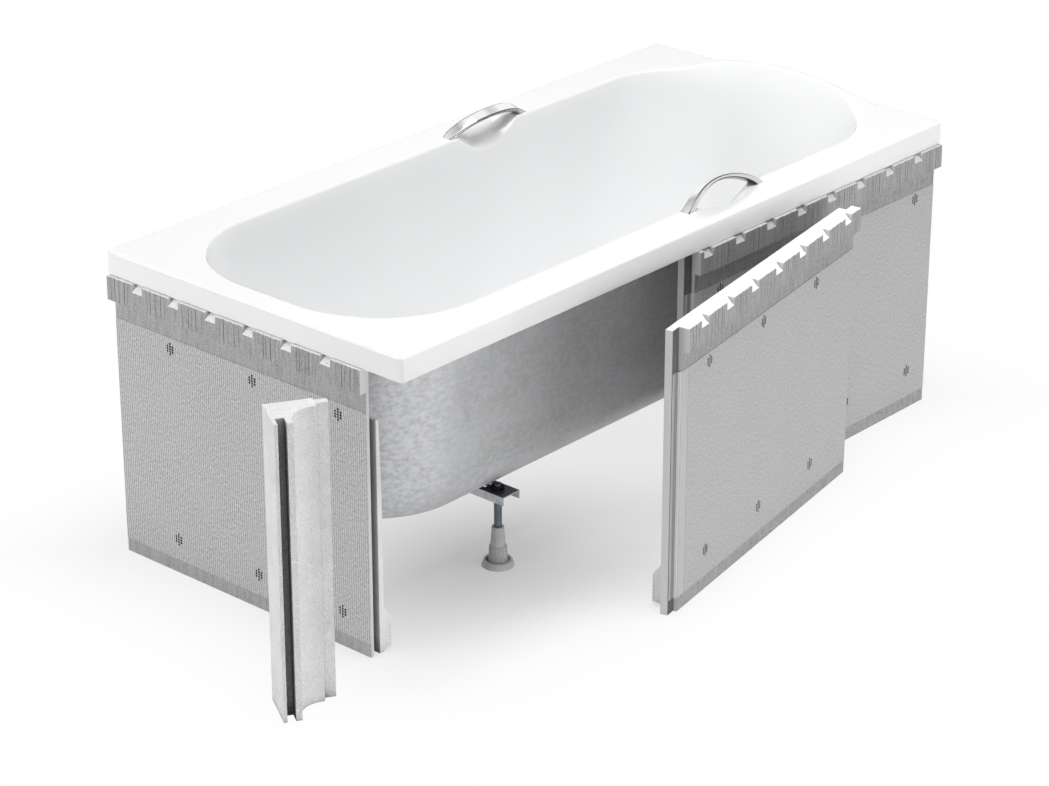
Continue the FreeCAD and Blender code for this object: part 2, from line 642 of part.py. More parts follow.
def panel(name, length, tongue, groove, before, first, after, where):
    """One panel. Its strip runs before and after its plies by two lengths, with its first notch at a third."""
    notches = f"(floor(({length} - {first} - notch_width - notch_tail) / notch_pitch) + 1)"
    face = new_body(f"{name}_face")
    outline = sketch_on(face, f"{name}_face_outline", "XY_Plane")
    rectangle(outline, "0", length, "0", "face_ply")
    feature(face, "Pad", f"{name}_face_ply", outline, PANEL_HEIGHT)

    core = new_body(f"{name}_core")
    outline = sketch_on(core, f"{name}_core_outline", "XY_Plane")
    tip = "-(tongue_reach - tongue_ease)"
    stop = f"{length} - tongue_reach" if groove else length
    corners = [("0", CORE_Y), (stop, CORE_Y), (stop, REAR_Y), ("0", REAR_Y)]
    if tongue:
        corners += [("0", f"{REAR_Y} - tongue_ease"), (tip, f"{REAR_Y} - tongue_ease")]
        corners += [(tip, TONGUE_Y), ("0", TONGUE_Y)]
    polygon(outline, corners)
    feature(core, "Pad", f"{name}_core_ply", outline, PANEL_HEIGHT)

    rear = new_body(f"{name}_rear")
    outline = sketch_on(rear, f"{name}_rear_outline", "YZ_Plane")
    top = f"{PANEL_HEIGHT} - rear_drop"
    corners = [(REAR_Y, "0"), (BACK_Y, "0"), (BACK_Y, f"{top} - rear_taper")]
    corners += [(f"{REAR_Y} + rear_top", top), (REAR_Y, top)]
    polygon(outline, corners)
    feature(rear, "Pad", f"{name}_rear_ply", outline, length)

    block = new_body(f"{name}_block")
    outline = sketch_on(block, f"{name}_block_outline", "YZ_Plane")
    block_back = f"({BACK_Y} + block_thick)"
    corners = [(BACK_Y, "block_low"), (block_back, "block_low"), (block_back, "block_high - block_taper")]
    corners += [(BACK_Y, "block_high")]
    polygon(outline, corners)
    feature(block, "Pad", f"{name}_block_length", outline, length)
    score = sketch_on(block, f"{name}_score_outline", "YZ_Plane")
    deep, clear = f"{block_back} - score_depth", f"{block_back} + overrun"
    rectangle(score, deep, clear, "score_low", "score_low + score_width")
    cut = feature(block, "Pocket", f"{name}_score", score, length, Reversed=True)
    row_of(block, f"{name}_scores", cut, "Z_Axis", "score_pitch * (score_count - 1)", "score_count")

    strip = new_body(f"{name}_strip")
    outline = sketch_on(strip, f"{name}_strip_outline", "XY_Plane", STRIP_LOW)
    rectangle(outline, before, f"{length} + {after}", "-strip_thick", "0")
    feature(strip, "Pad", f"{name}_strip_height", outline, "strip_height")
    notch = sketch_on(strip, f"{name}_notch_outline", "YZ_Plane", first)
    past = "(strip_thick + overrun)"
    corners = [("0", PANEL_HEIGHT), ("0", f"{PANEL_HEIGHT} + overrun")]
    corners += [(f"-{past}", f"{PANEL_HEIGHT} + overrun")]
    corners += [(f"-{past}", f"{PANEL_HEIGHT} - notch_drop * {past} / strip_thick")]
    polygon(notch, corners)
    cut = feature(strip, "Pocket", f"{name}_notch", notch, "notch_width", Reversed=True)
    run = f"notch_pitch * ({notches} - 1)"
    row_of(strip, f"{name}_notch_row", cut, "X_Axis", run, notches)
    kerf = sketch_on(strip, f"{name}_kerf_outline", "XY_Plane", f"{STRIP_LOW} - overrun")
    for step in (1, 2):
        start = f"({first} + notch_width + kerf_pitch * {step})"
        rectangle(kerf, start, f"{start} + kerf_width", f"-{past}", "kerf_depth - strip_thick")
    cut = feature(strip, "Pocket", f"{name}_kerf", kerf, "strip_height + overrun * 2", Reversed=True)
    row_of(strip, f"{name}_kerf_row", cut, "X_Axis", run, notches)

    fleece = new_body(f"{name}_fleece")
    outline = sketch_on(fleece, f"{name}_fleece_outline", "XY_Plane", "fleece_low")
    rectangle(outline, "flap_lap" if tongue else "0", length, "-fleece_thick", "0")
    feature(fleece, "Pad", f"{name}_fleece_sheet", outline, FLEECE_HEIGHT)
    bodies = [face, core, rear, block, strip, fleece]

    if tongue:
        flap = new_body(f"{name}_flap")
        outline = sketch_on(flap, f"{name}_flap_outline", "XY_Plane", "fleece_low")
        bend = f"fleece_thick * tan(atan({TONGUE_Y} / flap_slope) / 2)"
        corners = [("flap_lap", "-fleece_thick"), ("flap_lap", "0"), ("0", "0")]
        corners += [("-flap_slope", TONGUE_Y), ("-flap_reach", TONGUE_Y)]
        corners += [("-flap_reach", f"{TONGUE_Y} - fleece_thick")]
        corners += [(f"-flap_slope - {bend}", f"{TONGUE_Y} - fleece_thick"), (f"-{bend}", "-fleece_thick")]
        polygon(outline, corners)
        feature(flap, "Pad", f"{name}_flap_sheet", outline, FLEECE_HEIGHT)
        bodies.append(flap)
    for body in bodies:
        place(body, *where)


FACE_Y = "-(tub_width / 2 - face_setback)"
RIGHT_X = "(tub_length / 2 - end_inset - right_length)"
LEFT_LENGTH = "(tub_length - face_setback - post_leg - right_length - end_inset - joint_gap * 2)"
END_LENGTH = "(tub_width - end_inset - face_setback - post_leg)"
end_place = ("-(tub_length / 2 - face_setback)", "tub_width / 2 - end_inset", "0", "square_turn", DOWN)
panel("end", END_LENGTH, False, True, "-strip_overhang", "end_notch_start", "0", end_place)
panel("right", "right_length", True, False, "0", "notch_start", "strip_overhang", (RIGHT_X, FACE_Y))
left_place = (
    f"{RIGHT_X} + left_along - {LEFT_LENGTH} / 2 * cos(left_turn)",
    f"{FACE_Y} - left_out - {LEFT_LENGTH} / 2 * sin(left_turn)",
    "0",
    "left_turn",
)
panel("left", LEFT_LENGTH, True, True, "0", "left_notch_start", "0", left_place)

# The corner post: a groove takes the front panel's tongue, and its own tongue the end panel's groove.
post = new_body("corner_post")
outline = sketch_on(post, "post_outline", "XY_Plane")
slot_end = "post_leg - tongue_reach"
tip = "post_leg + tongue_reach - tongue_ease"
cove = f"({BACK_Y} + post_cove)"
post_points = [
    ("0", "0"),
    ("post_leg", "0"),
    ("post_leg", CORE_Y),
    (slot_end, CORE_Y),
    (slot_end, REAR_Y),
    ("post_leg", REAR_Y),
    ("post_leg", BACK_Y),
    (cove, BACK_Y),
    (BACK_Y, cove),
    (BACK_Y, "post_leg"),
    (f"{REAR_Y} - tongue_ease", "post_leg"),
    (f"{REAR_Y} - tongue_ease", tip),
    (TONGUE_Y, tip),
    (TONGUE_Y, "post_leg"),
    ("0", "post_leg"),
]
polygon(outline, post_points, {7: ("post_cove", -1)})
feature(post, "Pad", "post_height", outline, PANEL_HEIGHT)
place(post, "-tub_length / 2 - post_beyond", "-tub_width / 2 + post_inboard", "0", "post_turn", DOWN)

doc.recompute()
for obj in doc.Objects:
    if "Invalid" in obj.State or "Error" in obj.State:
        raise RuntimeError(f"{obj.Label} did not build")
for node in NODES:
    if node.Shape.isNull() or not node.Shape.isValid():
        raise RuntimeError(f"{node.Label} has no valid shape")
os.makedirs("parts", exist_ok=True)
for node in NODES:
    node.Shape.exportStep(f"parts/{node.Label}.step")
    print(f"{node.Label}: {len(node.Shape.Solids)} solid, {node.Shape.Volume:.0f} mm3")
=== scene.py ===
import math
import random

import bmesh
import bpy
from mathutils import Matrix, Vector


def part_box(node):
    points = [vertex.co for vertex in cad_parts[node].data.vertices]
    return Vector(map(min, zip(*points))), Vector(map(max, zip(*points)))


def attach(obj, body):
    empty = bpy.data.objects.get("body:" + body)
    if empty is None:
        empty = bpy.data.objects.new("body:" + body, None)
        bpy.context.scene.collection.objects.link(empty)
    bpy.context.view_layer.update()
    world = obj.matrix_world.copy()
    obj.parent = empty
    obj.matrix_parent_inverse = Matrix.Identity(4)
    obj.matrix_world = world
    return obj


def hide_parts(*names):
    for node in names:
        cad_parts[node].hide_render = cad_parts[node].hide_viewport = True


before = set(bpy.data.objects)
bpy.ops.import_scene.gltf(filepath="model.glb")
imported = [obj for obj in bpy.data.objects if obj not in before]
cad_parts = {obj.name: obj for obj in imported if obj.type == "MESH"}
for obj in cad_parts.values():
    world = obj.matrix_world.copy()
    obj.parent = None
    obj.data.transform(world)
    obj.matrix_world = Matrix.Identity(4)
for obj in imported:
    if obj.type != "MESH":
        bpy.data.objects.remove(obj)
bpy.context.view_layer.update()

bl_info = {
    "name": "Skirted Bathtub",
    "version": (1, 0, 0),
    "blender": (4, 5, 0),
    "location": "View3D > Sidebar > Bathtub",
    "description": "Dresses a packed bathtub: enamelled shell, grips, feet, foam skirt and stage",
    "category": "Object",
}

PHOTO_WIDTH = 1049.0
SENSOR = 36.0
UP = Vector((0.0, 0.0, 1.0))
WHITE = (1.0, 1.0, 1.0)

# The shell's own sizes in metres, as the solids have them.
SHELL_LOW, SHELL_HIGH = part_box("tub_shell")
HALF_LENGTH, HALF_WIDTH = SHELL_HIGH[0], SHELL_HIGH[1]
SHEET = 0.0025
FLOOR_Z = SHELL_LOW[2] + SHEET
RISE = 0.034
RIM_Z = SHELL_HIGH[2] - RISE
APRON_HEIGHT = 0.050
BASIN_FLOOR = {"left": 0.092, "right": 0.250, "side": 0.1585}
BASIN_RIM = {"left": 0.053, "right": 0.050, "side": 0.088}
GRIP_OUTSIDE = 0.015
GRIP_X, GRIP_Y = 0.178, HALF_WIDTH - BASIN_RIM["side"] + GRIP_OUTSIDE
GRIP_HALF_SPAN = 0.122

# Each panel: the left end of its outer face, its turn in degrees, its length, where its fleece starts and its
# first notch.
PANELS = {
    "end": {"at": (-0.843, 0.388), "turn": -90.0, "length": 0.688, "lap": 0.0, "notch": 0.068},
    "right": {"at": (0.010, -0.393), "turn": 0.0, "length": 0.828, "lap": 0.027, "notch": 0.010},
    "left": {"at": (-0.30792, -0.61879), "turn": 10.4, "length": 0.740, "lap": 0.027, "notch": 0.049},
}
FLEECE_LOW, FLEECE_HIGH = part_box("end_fleece")[0][2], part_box("end_fleece")[1][2]
FEET = [(x, y) for x in (-0.390, 0.390) for y in (-0.2195, 0.2195)]


def colour(name, words, value):
    return bpy.props.FloatVectorProperty(
        name=name, description=words, default=value, size=3, min=0.0, max=1.0, subtype="COLOR"
    )


def number(name, words, value, **limits):
    return bpy.props.FloatProperty(name=name, description=words, default=value, **limits)


def length(name, words, value):
    return number(name, words, value, min=0.0, unit="LENGTH")


class ShellSettings(bpy.types.PropertyGroup):
    """Sizes and colours of the enamelled shell and its fittings."""

    lip_round: length("Lip round", "How far the round of the basin's edge reaches", 0.007)
    rim_round: length("Rim round", "Round of the rim's outer edge", 0.005)
    rim_corner: length("Rim corner", "Radius of the rim's corners seen from above", 0.008)
    arch_round: length("Arch round", "Round on the raised head end", 0.012)
    floor_round: length("Floor round", "Round between the basin's floor and walls", 0.096)
    recess_dip: length("Recess dip", "Depth of a hand recess at the basin", 0.040)
    recess_reach: length("Recess reach", "How far a hand recess runs out on the rim", 0.050)
    recess_length: length("Recess length", "Length of a hand recess along the rim", 0.200)
    hole_radius: length("Hole radius", "Radius of the waste and overflow holes", 0.026)
    grip_width: length("Grip width", "Width of a grip's band", 0.024)
    grip_round: length("Grip round", "Round on a grip's edges", 0.0028)
    grip_lean: number(
        "Grip lean", "How far a grip's bow leans over the basin", math.radians(28.0), subtype="ANGLE"
    )
    thread_pitch: length("Thread pitch", "Pitch of the feet's threaded rods", 0.002)
    enamel: colour("Enamel", "White of the enamel", (0.94, 0.945, 0.95))
    steel: colour("Steel", "Grey of the bare underside", (0.56, 0.565, 0.575))
    chrome: colour("Chrome", "Colour of the grips", (0.93, 0.935, 0.94))
    zinc: colour("Zinc", "Blue grey of the rods and nuts", (0.14, 0.17, 0.19))
    black: colour("Black steel", "Colour of the foot nuts", (0.022, 0.024, 0.03))
    galvanised: colour("Galvanised", "Colour of the beams", (0.55, 0.56, 0.58))
    plastic: colour("Plastic", "Warm grey of the feet", (0.56, 0.555, 0.54))


class SkirtSettings(bpy.types.PropertyGroup):
    """Sizes and colours of the foam panels, their fleece and the corner post."""

    fleece_proud: length("Fleece thickness", "How far the fleece stands off its panel", 0.001)
    rib_pitch: length("Rib pitch", "Distance between two ribs of the fleece", 0.0056)
    cell: length("Fleece cell", "Size of one cell of the fleece's mesh", 0.005)
    dot_radius: length("Dot radius", "Radius of one perforation", 0.0025)
    dot_pitch: length("Dot pitch", "Distance between rows of perforations", 0.0056)
    dot_rows: bpy.props.IntProperty(
        name="Dot rows", description="Rows of a group, two more than its columns", default=5, min=3
    )
    mesh_pitch: length("Mesh pitch", "Distance between the flap's threads", 0.0042)
    kerf: length("Kerf", "Width of the saw cuts in the notched strips", 0.0013)
    saw_depth: length("Saw depth", "Depth of the deepest saw cuts", 0.004)
    edge_wear: length("Edge wear", "How far the notched strips' upper edges are worn away", 0.0012)
    skin: colour("Foam skin", "Grey of the moulded foam skin", (0.36, 0.36, 0.36))
    raw: colour("Raw foam", "White of cut foam", (0.90, 0.90, 0.90))
    fleece: colour("Fleece", "Grey of the fleece", (0.51, 0.51, 0.51))
    mesh: colour("Mesh", "Grey of the mesh flaps", (0.62, 0.62, 0.62))


class StageSettings(bpy.types.PropertyGroup):
    """Camera and light."""

    place: bpy.props.FloatVectorProperty(
        name="Camera place",
        description="Where the camera stands",
        default=(-4.9149, -4.3002, 3.1504),
        subtype="XYZ",
    )
    turn: bpy.props.FloatVectorProperty(
        name="Camera turn",
        description="Rotation of the camera",
        default=(math.radians(65.556), 0.0, math.radians(-48.458)),
        subtype="EULER",
    )
    focal_pixels: number("Focal length", "Focal length in pixels of the picture", 3380.4)
    sky: number("Sky", "Strength of the even light", 0.26, min=0.0)
    overhead: number("Overhead", "Power of the lamp above in watts", 178.0, min=0.0)
    side: number("Side lamps", "Power of the low lamp at the foot end in watts", 105.0, min=0.0)
    lift: number(
        "Shadow lift", "How pale the floor's shadows are at most", 0.75, subtype="FACTOR", min=0.0, max=1.0
    )
    ground: colour("Ground", "Colour of the floor", (0.95, 0.95, 0.95))


# Node trees


class Graph:
    """Adds nodes to a tree. A node's settings come first, then the values or links of its sockets."""

    def __init__(self, tree):
        self.tree = tree

    def node(self, kind, settings=None, inputs=None):
        made = self.tree.nodes.new(kind)
        for name, setting in (settings or {}).items():
            setattr(made, name, setting)
        for socket, given in (inputs or {}).items():
            self.give(made.inputs[socket], given)
        return made

    def give(self, socket, given):
        """Links a socket to another one, or sets it to a plain number, vector or colour."""
        given = getattr(given, "socket", given)
        if isinstance(given, bpy.types.NodeSocket):
            self.tree.links.new(given, socket)
        else:
            socket.default_value = given

    def value(self, kind, settings=None, inputs=None, output=0):
        """One output of a new node, ready for arithmetic."""
        return Value(self, self.node(kind, settings, inputs).outputs[output])


def operation(kind):
    """A method that adds one Math node."""
    settings = {"operation": kind}
    return lambda self, other=0.0: self.graph.value("ShaderNodeMath", settings, {0: self, 1: other})


class Value:
    """One output of a node. Arithmetic on it adds Math nodes."""

    def __init__(self, graph, socket):
        self.graph, self.socket = graph, socket

    __add__, __sub__, __mul__ = operation("ADD"), operation("SUBTRACT"), operation("MULTIPLY")
    __gt__, most = operation("GREATER_THAN"), operation("MAXIMUM")
    sine, fraction = operation("SINE"), operation("FRACT")

    def __rsub__(self, other):
        return self.graph.value("ShaderNodeMath", {"operation": "SUBTRACT"}, {0: other, 1: self})

    def ramp(self, low, high):
        """From 0 at low to 1 at high, level outside."""
        settings = {"interpolation_type": "SMOOTHSTEP"}
        return self.graph.value("ShaderNodeMapRange", settings, {0: self, 1: low, 2: high})


class Scatter(Graph):
    """A geometry tree that puts copies of one form on the points of a mesh."""

    def __init__(self, name, **kinds):
        super().__init__(bpy.data.node_groups.new(name, "GeometryNodeTree"))
        add = self.tree.interface.new_socket
        for socket, kind in {"Geometry": "Geometry", **kinds}.items():
            add(socket, in_out="INPUT", socket_type=f"NodeSocket{kind}")
        add("Geometry", in_out="OUTPUT", socket_type="NodeSocketGeometry")
        self.given = {socket.name: Value(self, socket) for socket in self.node("NodeGroupInput").outputs}

    def spread(self, copy, material, rotation=(0.0, 0.0, 0.0)):
        """Ends the tree: the copy on every point, made real and given its material."""
        spots = {"Points": self.given["Geometry"], "Instance": copy, "Rotation": rotation}
        copies = self.value("GeometryNodeInstanceOnPoints", None, spots)
        real = self.value("GeometryNodeRealizeInstances", None, {0: copies})
        dressed = self.value("GeometryNodeSetMaterial", None, {"Geometry": real, "Material": material})
        self.node("NodeGroupOutput", None, {0: dressed})
        return self

    def apply(self, piece, **values):
        """Works the tree into a piece, with these values on its sockets."""
        modifier = piece.modifiers.new(self.tree.name, "NODES")
        modifier.node_group = self.tree
        for item in self.tree.interface.items_tree:
            if item.name in values:
                modifier[item.identifier] = values[item.name]
        settled(piece)


def tinted(base, share):
    return tuple(min(1.0, part * share) for part in base)


class Finish(Graph):
    """One material: a Principled shader whose textures shade one base colour."""

    def __init__(self, name, base):
        self.material = bpy.data.materials.new(name)
        self.material.use_nodes = True
        super().__init__(self.material.node_tree)
        self.base = base
        self.shader = self.tree.nodes["Principled BSDF"]
        self.coordinates = self.node("ShaderNodeTexCoord").outputs

    def axes(self, source):
        parts = self.node("ShaderNodeSeparateXYZ", None, {0: self.coordinates[source]})
        return [Value(self, socket) for socket in parts.outputs]

    def noise(self, scale, detail=3.0, rough=0.5, stretch=(1.0, 1.0, 1.0), source="Object"):
        stretched = {"Vector": self.coordinates[source], "Scale": stretch}
        vector = self.value("ShaderNodeMapping", None, stretched)
        inputs = {"Vector": vector, "Scale": scale, "Detail": detail, "Roughness": rough}
        return self.value("ShaderNodeTexNoise", None, inputs)

    def cells(self, scale, feature="F1", output="Distance"):
        inputs = {"Vector": self.coordinates["Object"], "Scale": scale}
        return self.value("ShaderNodeTexVoronoi", {"feature": feature}, inputs, output)

    def blend(self, factor, first, second, way="MIX"):
        """Two colours mixed by a value."""
        first, second = (c if isinstance(c, bpy.types.NodeSocket) else (*c, 1.0) for c in (first, second))
        settings = {"data_type": "RGBA", "blend_type": way}
        return self.node("ShaderNodeMix", settings, {0: factor, 6: first, 7: second}).outputs[2]

    def between(self, factor, low, high):
        """The base colour, from one share of its brightness to another."""
        return self.blend(factor, tinted(self.base, low), tinted(self.base, high))

    def toward(self, shade, factor, share):
        """A shade, mixed towards a share of the base colour's brightness."""
        return self.blend(factor, shade, tinted(self.base, share))

    def painted_recess_shade(self, shade, distance, depth, alone=False):
        """The shade, darkened by painted shade where the surface lies in a groove, or in a gap unless it is
        taken alone.
        """
        settings = {"samples": 8, "only_local": alone}
        # Painted shade: ambient occlusion darkens the colour itself.
        open_sky = self.value("ShaderNodeAmbientOcclusion", settings, {"Distance": distance}, "AO")
        return self.blend(1.0 - open_sky.ramp(0.12, 0.75), shade, tinted(WHITE, depth), "MULTIPLY")

    def bands(self, value, stops):
        """The greys that a value runs through, as pairs of a place and a grey."""
        made = self.node("ShaderNodeValToRGB", None, {0: value})
        elements = made.color_ramp.elements
        while len(elements) < len(stops):
            elements.new(1.0)
        for element, (place, grey) in zip(elements, stops):
            element.position, element.color = place, (grey, grey, grey, 1.0)
        return made.outputs[0]

    def facing(self, direction):
        """How far the surface looks in a direction, from -1 to 1."""
        vectors = {0: self.coordinates["Normal"], 1: direction}
        return self.value("ShaderNodeVectorMath", {"operation": "DOT_PRODUCT"}, vectors, "Value")

    def bump(self, height, strength, distance):
        inputs = {"Height": height, "Strength": strength, "Distance": distance}
        self.set(normal=self.value("ShaderNodeBump", None, inputs))

    def set(self, **sockets):
        for name, given in sockets.items():
            self.give(self.shader.inputs[name.replace("_", " ").title()], given)
        return self.material


def enamel_finish(base):
    finish = Finish("white_enamel", base)
    drift = finish.noise(1.6, 2.0)
    finish.bump(finish.noise(90.0, 2.0), strength=0.03, distance=0.001)
    roughness = finish.noise(35.0, 4.0).ramp(0.3, 0.75) * 0.06 + 0.09
    shade = finish.between(drift.ramp(0.35, 0.7), 0.985, 1.015)
    return finish.set(base_color=shade, roughness=roughness, coat_weight=0.25, coat_roughness=0.03)


def steel_finish(base):
    """Bare pressed steel: clouds and shallow wrinkles, strongest on the deep-pressed corners of the foot end,
    where a painted highlight also brightens the faces that look towards the foot end.
    """
    finish = Finish("mottled_steel", base)
    foot_end_wrinkles_and_highlight = finish.facing((-1.0, 0.0, 0.0)).ramp(0.08, 0.55)
    clouds = finish.noise(9.0, 5.0, 0.6, (1.0, 1.0, 1.6))
    mottle = finish.noise(70.0, 3.0, 0.6, (1.0, 1.0, 1.5))
    shade = finish.between(clouds.ramp(0.25, 0.75), 0.9, 1.08)
    shade = finish.toward(shade, mottle.ramp(0.35, 0.7) * 0.7, 1.2)
    # Painted highlight: faces that look towards the foot end are brightened.
    shade = finish.toward(shade, foot_end_wrinkles_and_highlight * mottle.ramp(0.25, 0.75) * 0.75, 1.4)
    finish.bump(mottle * (foot_end_wrinkles_and_highlight + 1.0), strength=0.35, distance=0.003)
    return finish.set(base_color=shade, roughness=clouds * 0.2 + 0.38, metallic=0.4)


def chrome_finish(base):
    """Polished plate, with bands of painted reflection across its bends, painted dark lines along its edges
    and painted shade on its underside.
    """
    finish = Finish("polished_chrome", base)
    film = finish.noise(60.0, 3.0)
    # Painted reflection: greys by how far the surface looks along the tub stand in for what the bends
    # reflect.
    slope = finish.facing((1.0, 0.0, 0.0)) * 0.5 + 0.5
    stops = [(0.20, 0.8), (0.27, 0.5), (0.32, 0.97), (0.44, 1.0), (0.48, 0.68), (0.52, 0.74)]
    stops += [(0.56, 1.0), (0.68, 1.0), (0.72, 0.5), (0.80, 0.7)]
    # Painted dark lines along the rounded edges, and painted shade on the faces that look down.
    line = finish.value("ShaderNodeAttribute", {"attribute_name": "edge"}, None, "Fac")
    under = finish.facing(-UP).ramp(0.2, 0.6)
    shade = finish.between(film.ramp(0.3, 0.8), 0.97, 1.0)
    shade = finish.blend(1.0, shade, finish.bands(slope, stops), "MULTIPLY")
    shade = finish.toward(shade, line.most(under), 0.12)
    return finish.set(base_color=shade, roughness=film.ramp(0.4, 0.8) * 0.05 + 0.03, metallic=1.0)


def metal_finish(name, base, roughness, spread):
    """A plain plated metal with fine scuffs along its length."""
    finish = Finish(name, base)
    patches = finish.noise(55.0, 4.0)
    scuffs = finish.noise(1.0, 2.0, stretch=(900.0, 900.0, 120.0))
    shade = finish.between(patches.ramp(0.3, 0.75), 1.0 - spread, 1.0 + spread)
    finish.bump(scuffs, strength=0.12, distance=0.0004)
    return finish.set(base_color=shade, roughness=patches * 0.2 + roughness, metallic=0.9)


def galvanised_finish(base):
    finish = Finish("galvanised_sheet", base)
    spangle = finish.cells(95.0, output="Color")
    shade = finish.between(spangle, 0.82, 1.18)
    # Faces that look up are darker.
    shade = finish.toward(shade, finish.facing(UP).ramp(0.5, 0.9), 0.22)
    finish.bump(finish.noise(420.0, 2.0), strength=0.08, distance=0.0005)
    return finish.set(base_color=shade, roughness=spangle * 0.22 + 0.3, metallic=0.85)


def plastic_finish(base):
    """Moulded plastic; upright ribs round the base of a foot, 12 to 43 mm above the floor, are shown as
    stripes of painted shade.
    """
    finish = Finish("moulded_plastic", base)
    cloud = finish.noise(45.0, 4.0)
    grain = finish.noise(1600.0, 2.0)
    height = finish.axes("Object")[2]
    ribs = finish.noise(1.0, 1.0, stretch=(330.0, 330.0, 2.0)).ramp(0.42, 0.58)
    ribs = ribs * height.ramp(0.010, 0.013) * height.ramp(0.045, 0.042)
    shade = finish.between(cloud.ramp(0.3, 0.75), 0.92, 1.06)
    # Painted shade: the ribs' darker stripes stand in for the shade of their flutes.
    shade = finish.toward(shade, ribs * 0.6, 0.55)
    finish.bump(grain, strength=0.15, distance=0.0003)
    return finish.set(base_color=shade, roughness=cloud * 0.15 + 0.42)


def raw_foam_finish(name, base, bead, relief):
    """Cut foam: closely packed beads with darker seams, with painted light on faces that look up and painted
    shade in grooves and gaps.
    """
    finish = Finish(name, base)
    seams = finish.cells(1.0 / bead, "DISTANCE_TO_EDGE")
    cloud = finish.noise(14.0, 4.0)
    crumbs = finish.noise(1.0 / bead, 3.0, 0.6)
    shade = finish.between(cloud.ramp(0.3, 0.75), 0.95, 1.04)
    shade = finish.blend(seams.ramp(0.0, 0.16) * 0.2 + 0.8, tinted(base, 0.62), shade)
    shade = finish.toward(shade, crumbs.ramp(0.5, 0.75) * (0.55 * relief), 0.66)
    shade = finish.toward(shade, crumbs.ramp(0.45, 0.25) * (0.6 * relief), 1.15)
    # Painted light: faces that look up are lighter.
    shade = finish.toward(shade, finish.facing(UP).ramp(0.6, 0.9), 1.1)
    # Painted shade in grooves and gaps.
    shade = finish.painted_recess_shade(shade, 0.035, 0.12)
    finish.bump(seams.ramp(0.0, 0.3) + crumbs, strength=relief, distance=0.0016)
    return finish.set(base_color=shade, roughness=0.82)


def foam_skin_finish(name, base, raw, outward, tops):
    """Moulded grey skin with streaks down the outer side; the other sides are cut and show white foam.

    The tops run between two shades of the cut foam and are lighter than the cut sides, as painted light;
    painted shade darkens them in the gap under the rim, and darkens saw cuts and notches all over.
    """
    finish = Finish(name, base)
    streaks = finish.noise(1.0, 3.0, 0.6, (150.0, 150.0, 16.0))
    grain = finish.noise(230.0, 4.0, 0.7)
    patches = finish.noise(16.0, 4.0)
    shade = finish.between(streaks.ramp(0.28, 0.72), 0.72, 1.1)
    shade = finish.toward(shade, grain.ramp(0.38, 0.68) * 0.75, 1.4)
    shade = finish.toward(shade, patches.ramp(0.4, 0.8) * 0.25, 1.2)
    skin = finish.facing(outward).ramp(0.8, 0.95)
    torn = grain.ramp(0.32, 0.5) * 0.6 + 0.4
    # Painted shade on the tops where they meet the rim.
    top = finish.painted_recess_shade(finish.blend(torn, tinted(raw, tops[0]), tinted(raw, tops[1])), 0.010, 0.06)
    # Painted light: the cut sides are darker than the tops.
    white = finish.blend(finish.facing(UP).ramp(0.3, 0.6), tinted(raw, 0.8), top)
    # Painted shade in saw cuts and notches.
    shade = finish.painted_recess_shade(finish.blend(skin, white, shade), 0.012, 0.10, alone=True)
    finish.bump(streaks * 0.5 + grain * 0.7, strength=0.35, distance=0.001)
    return finish.set(base_color=shade, roughness=0.78)


def fleece_finish(name, base, pitch, relief):
    """Ribbed fleece: ribs run up the panel, with small loops across them; the ribs' light and shade is
    painted, and painted shade darkens the cloth where it shades itself.
    """
    finish = Finish(name, base)
    across = finish.axes("UV")[0]
    wander = finish.noise(26.0, 3.0, source="UV")
    loops = finish.noise(1.0, 3.0, 0.6, (420.0, 170.0, 1.0), "UV")
    ribs = (across * (2.0 * math.pi / pitch) + wander * 5.0).sine() * 0.5 + 0.5
    patches = finish.noise(9.0, 4.0, source="UV")
    # Painted light and shade across the ribs.
    light = ribs * (0.5 * relief) + loops.ramp(0.3, 0.7) * (1.0 - 0.5 * relief)
    shade = finish.between(light, 1.0 - 0.6 * relief, 1.0 + 0.55 * relief)
    shade = finish.toward(shade, patches.ramp(0.35, 0.75) * 0.2, 1.12)
    # Painted shade where the cloth shades itself.
    shade = finish.painted_recess_shade(shade, 0.10, 0.35, alone=True)
    finish.bump(ribs * 0.6 + loops * 0.8, strength=0.5 * relief, distance=0.0009)
    return finish.set(base_color=shade, roughness=0.9)


def mesh_finish(base, pitch):
    """Open netting: threads both ways with small square holes, wider where it isn't glued down.

    Measured across it in metres, a painted highlight lies on the ridge where it bends off its panel, and
    painted shade in the fold behind.
    """
    finish = Finish("netting", base)
    across, up, _ = finish.axes("UV")
    columns, rows = (across * (1.0 / pitch)).fraction(), (up * (1.0 / pitch)).fraction()
    hole = across.ramp(0.024, 0.034) * 0.26 + 0.32
    thread = (columns > hole).most(rows > hole)
    fibre = finish.noise(900.0, 2.0, source="UV")
    ridge = across.ramp(0.026, 0.029) * across.ramp(0.034, 0.031)
    painted_crease_shade = across.ramp(0.034, 0.037) * across.ramp(0.045, 0.041)
    shade = finish.between(fibre.ramp(0.3, 0.75), 0.9, 1.1)
    # Painted highlight on the ridge.
    shade = finish.toward(shade, ridge * 0.8, 1.45)
    # Painted shade in the fold behind the ridge.
    shade = finish.toward(shade, painted_crease_shade * 0.7, 0.4)
    # Painted shade near other parts.
    shade = finish.painted_recess_shade(shade, 0.03, 0.35)
    finish.bump(columns.most(rows), strength=0.3, distance=0.0005)
    return finish.set(base_color=shade, roughness=0.85, alpha=thread)


def pit_finish():
    # Near-black discs: painted shade standing in for the dark insides of the holes.
    finish = Finish("perforation", WHITE)
    hole_shade_speckle = finish.noise(700.0, 2.0)
    return finish.set(base_color=finish.between(hole_shade_speckle, 0.012, 0.035), roughness=0.9)


# Meshes


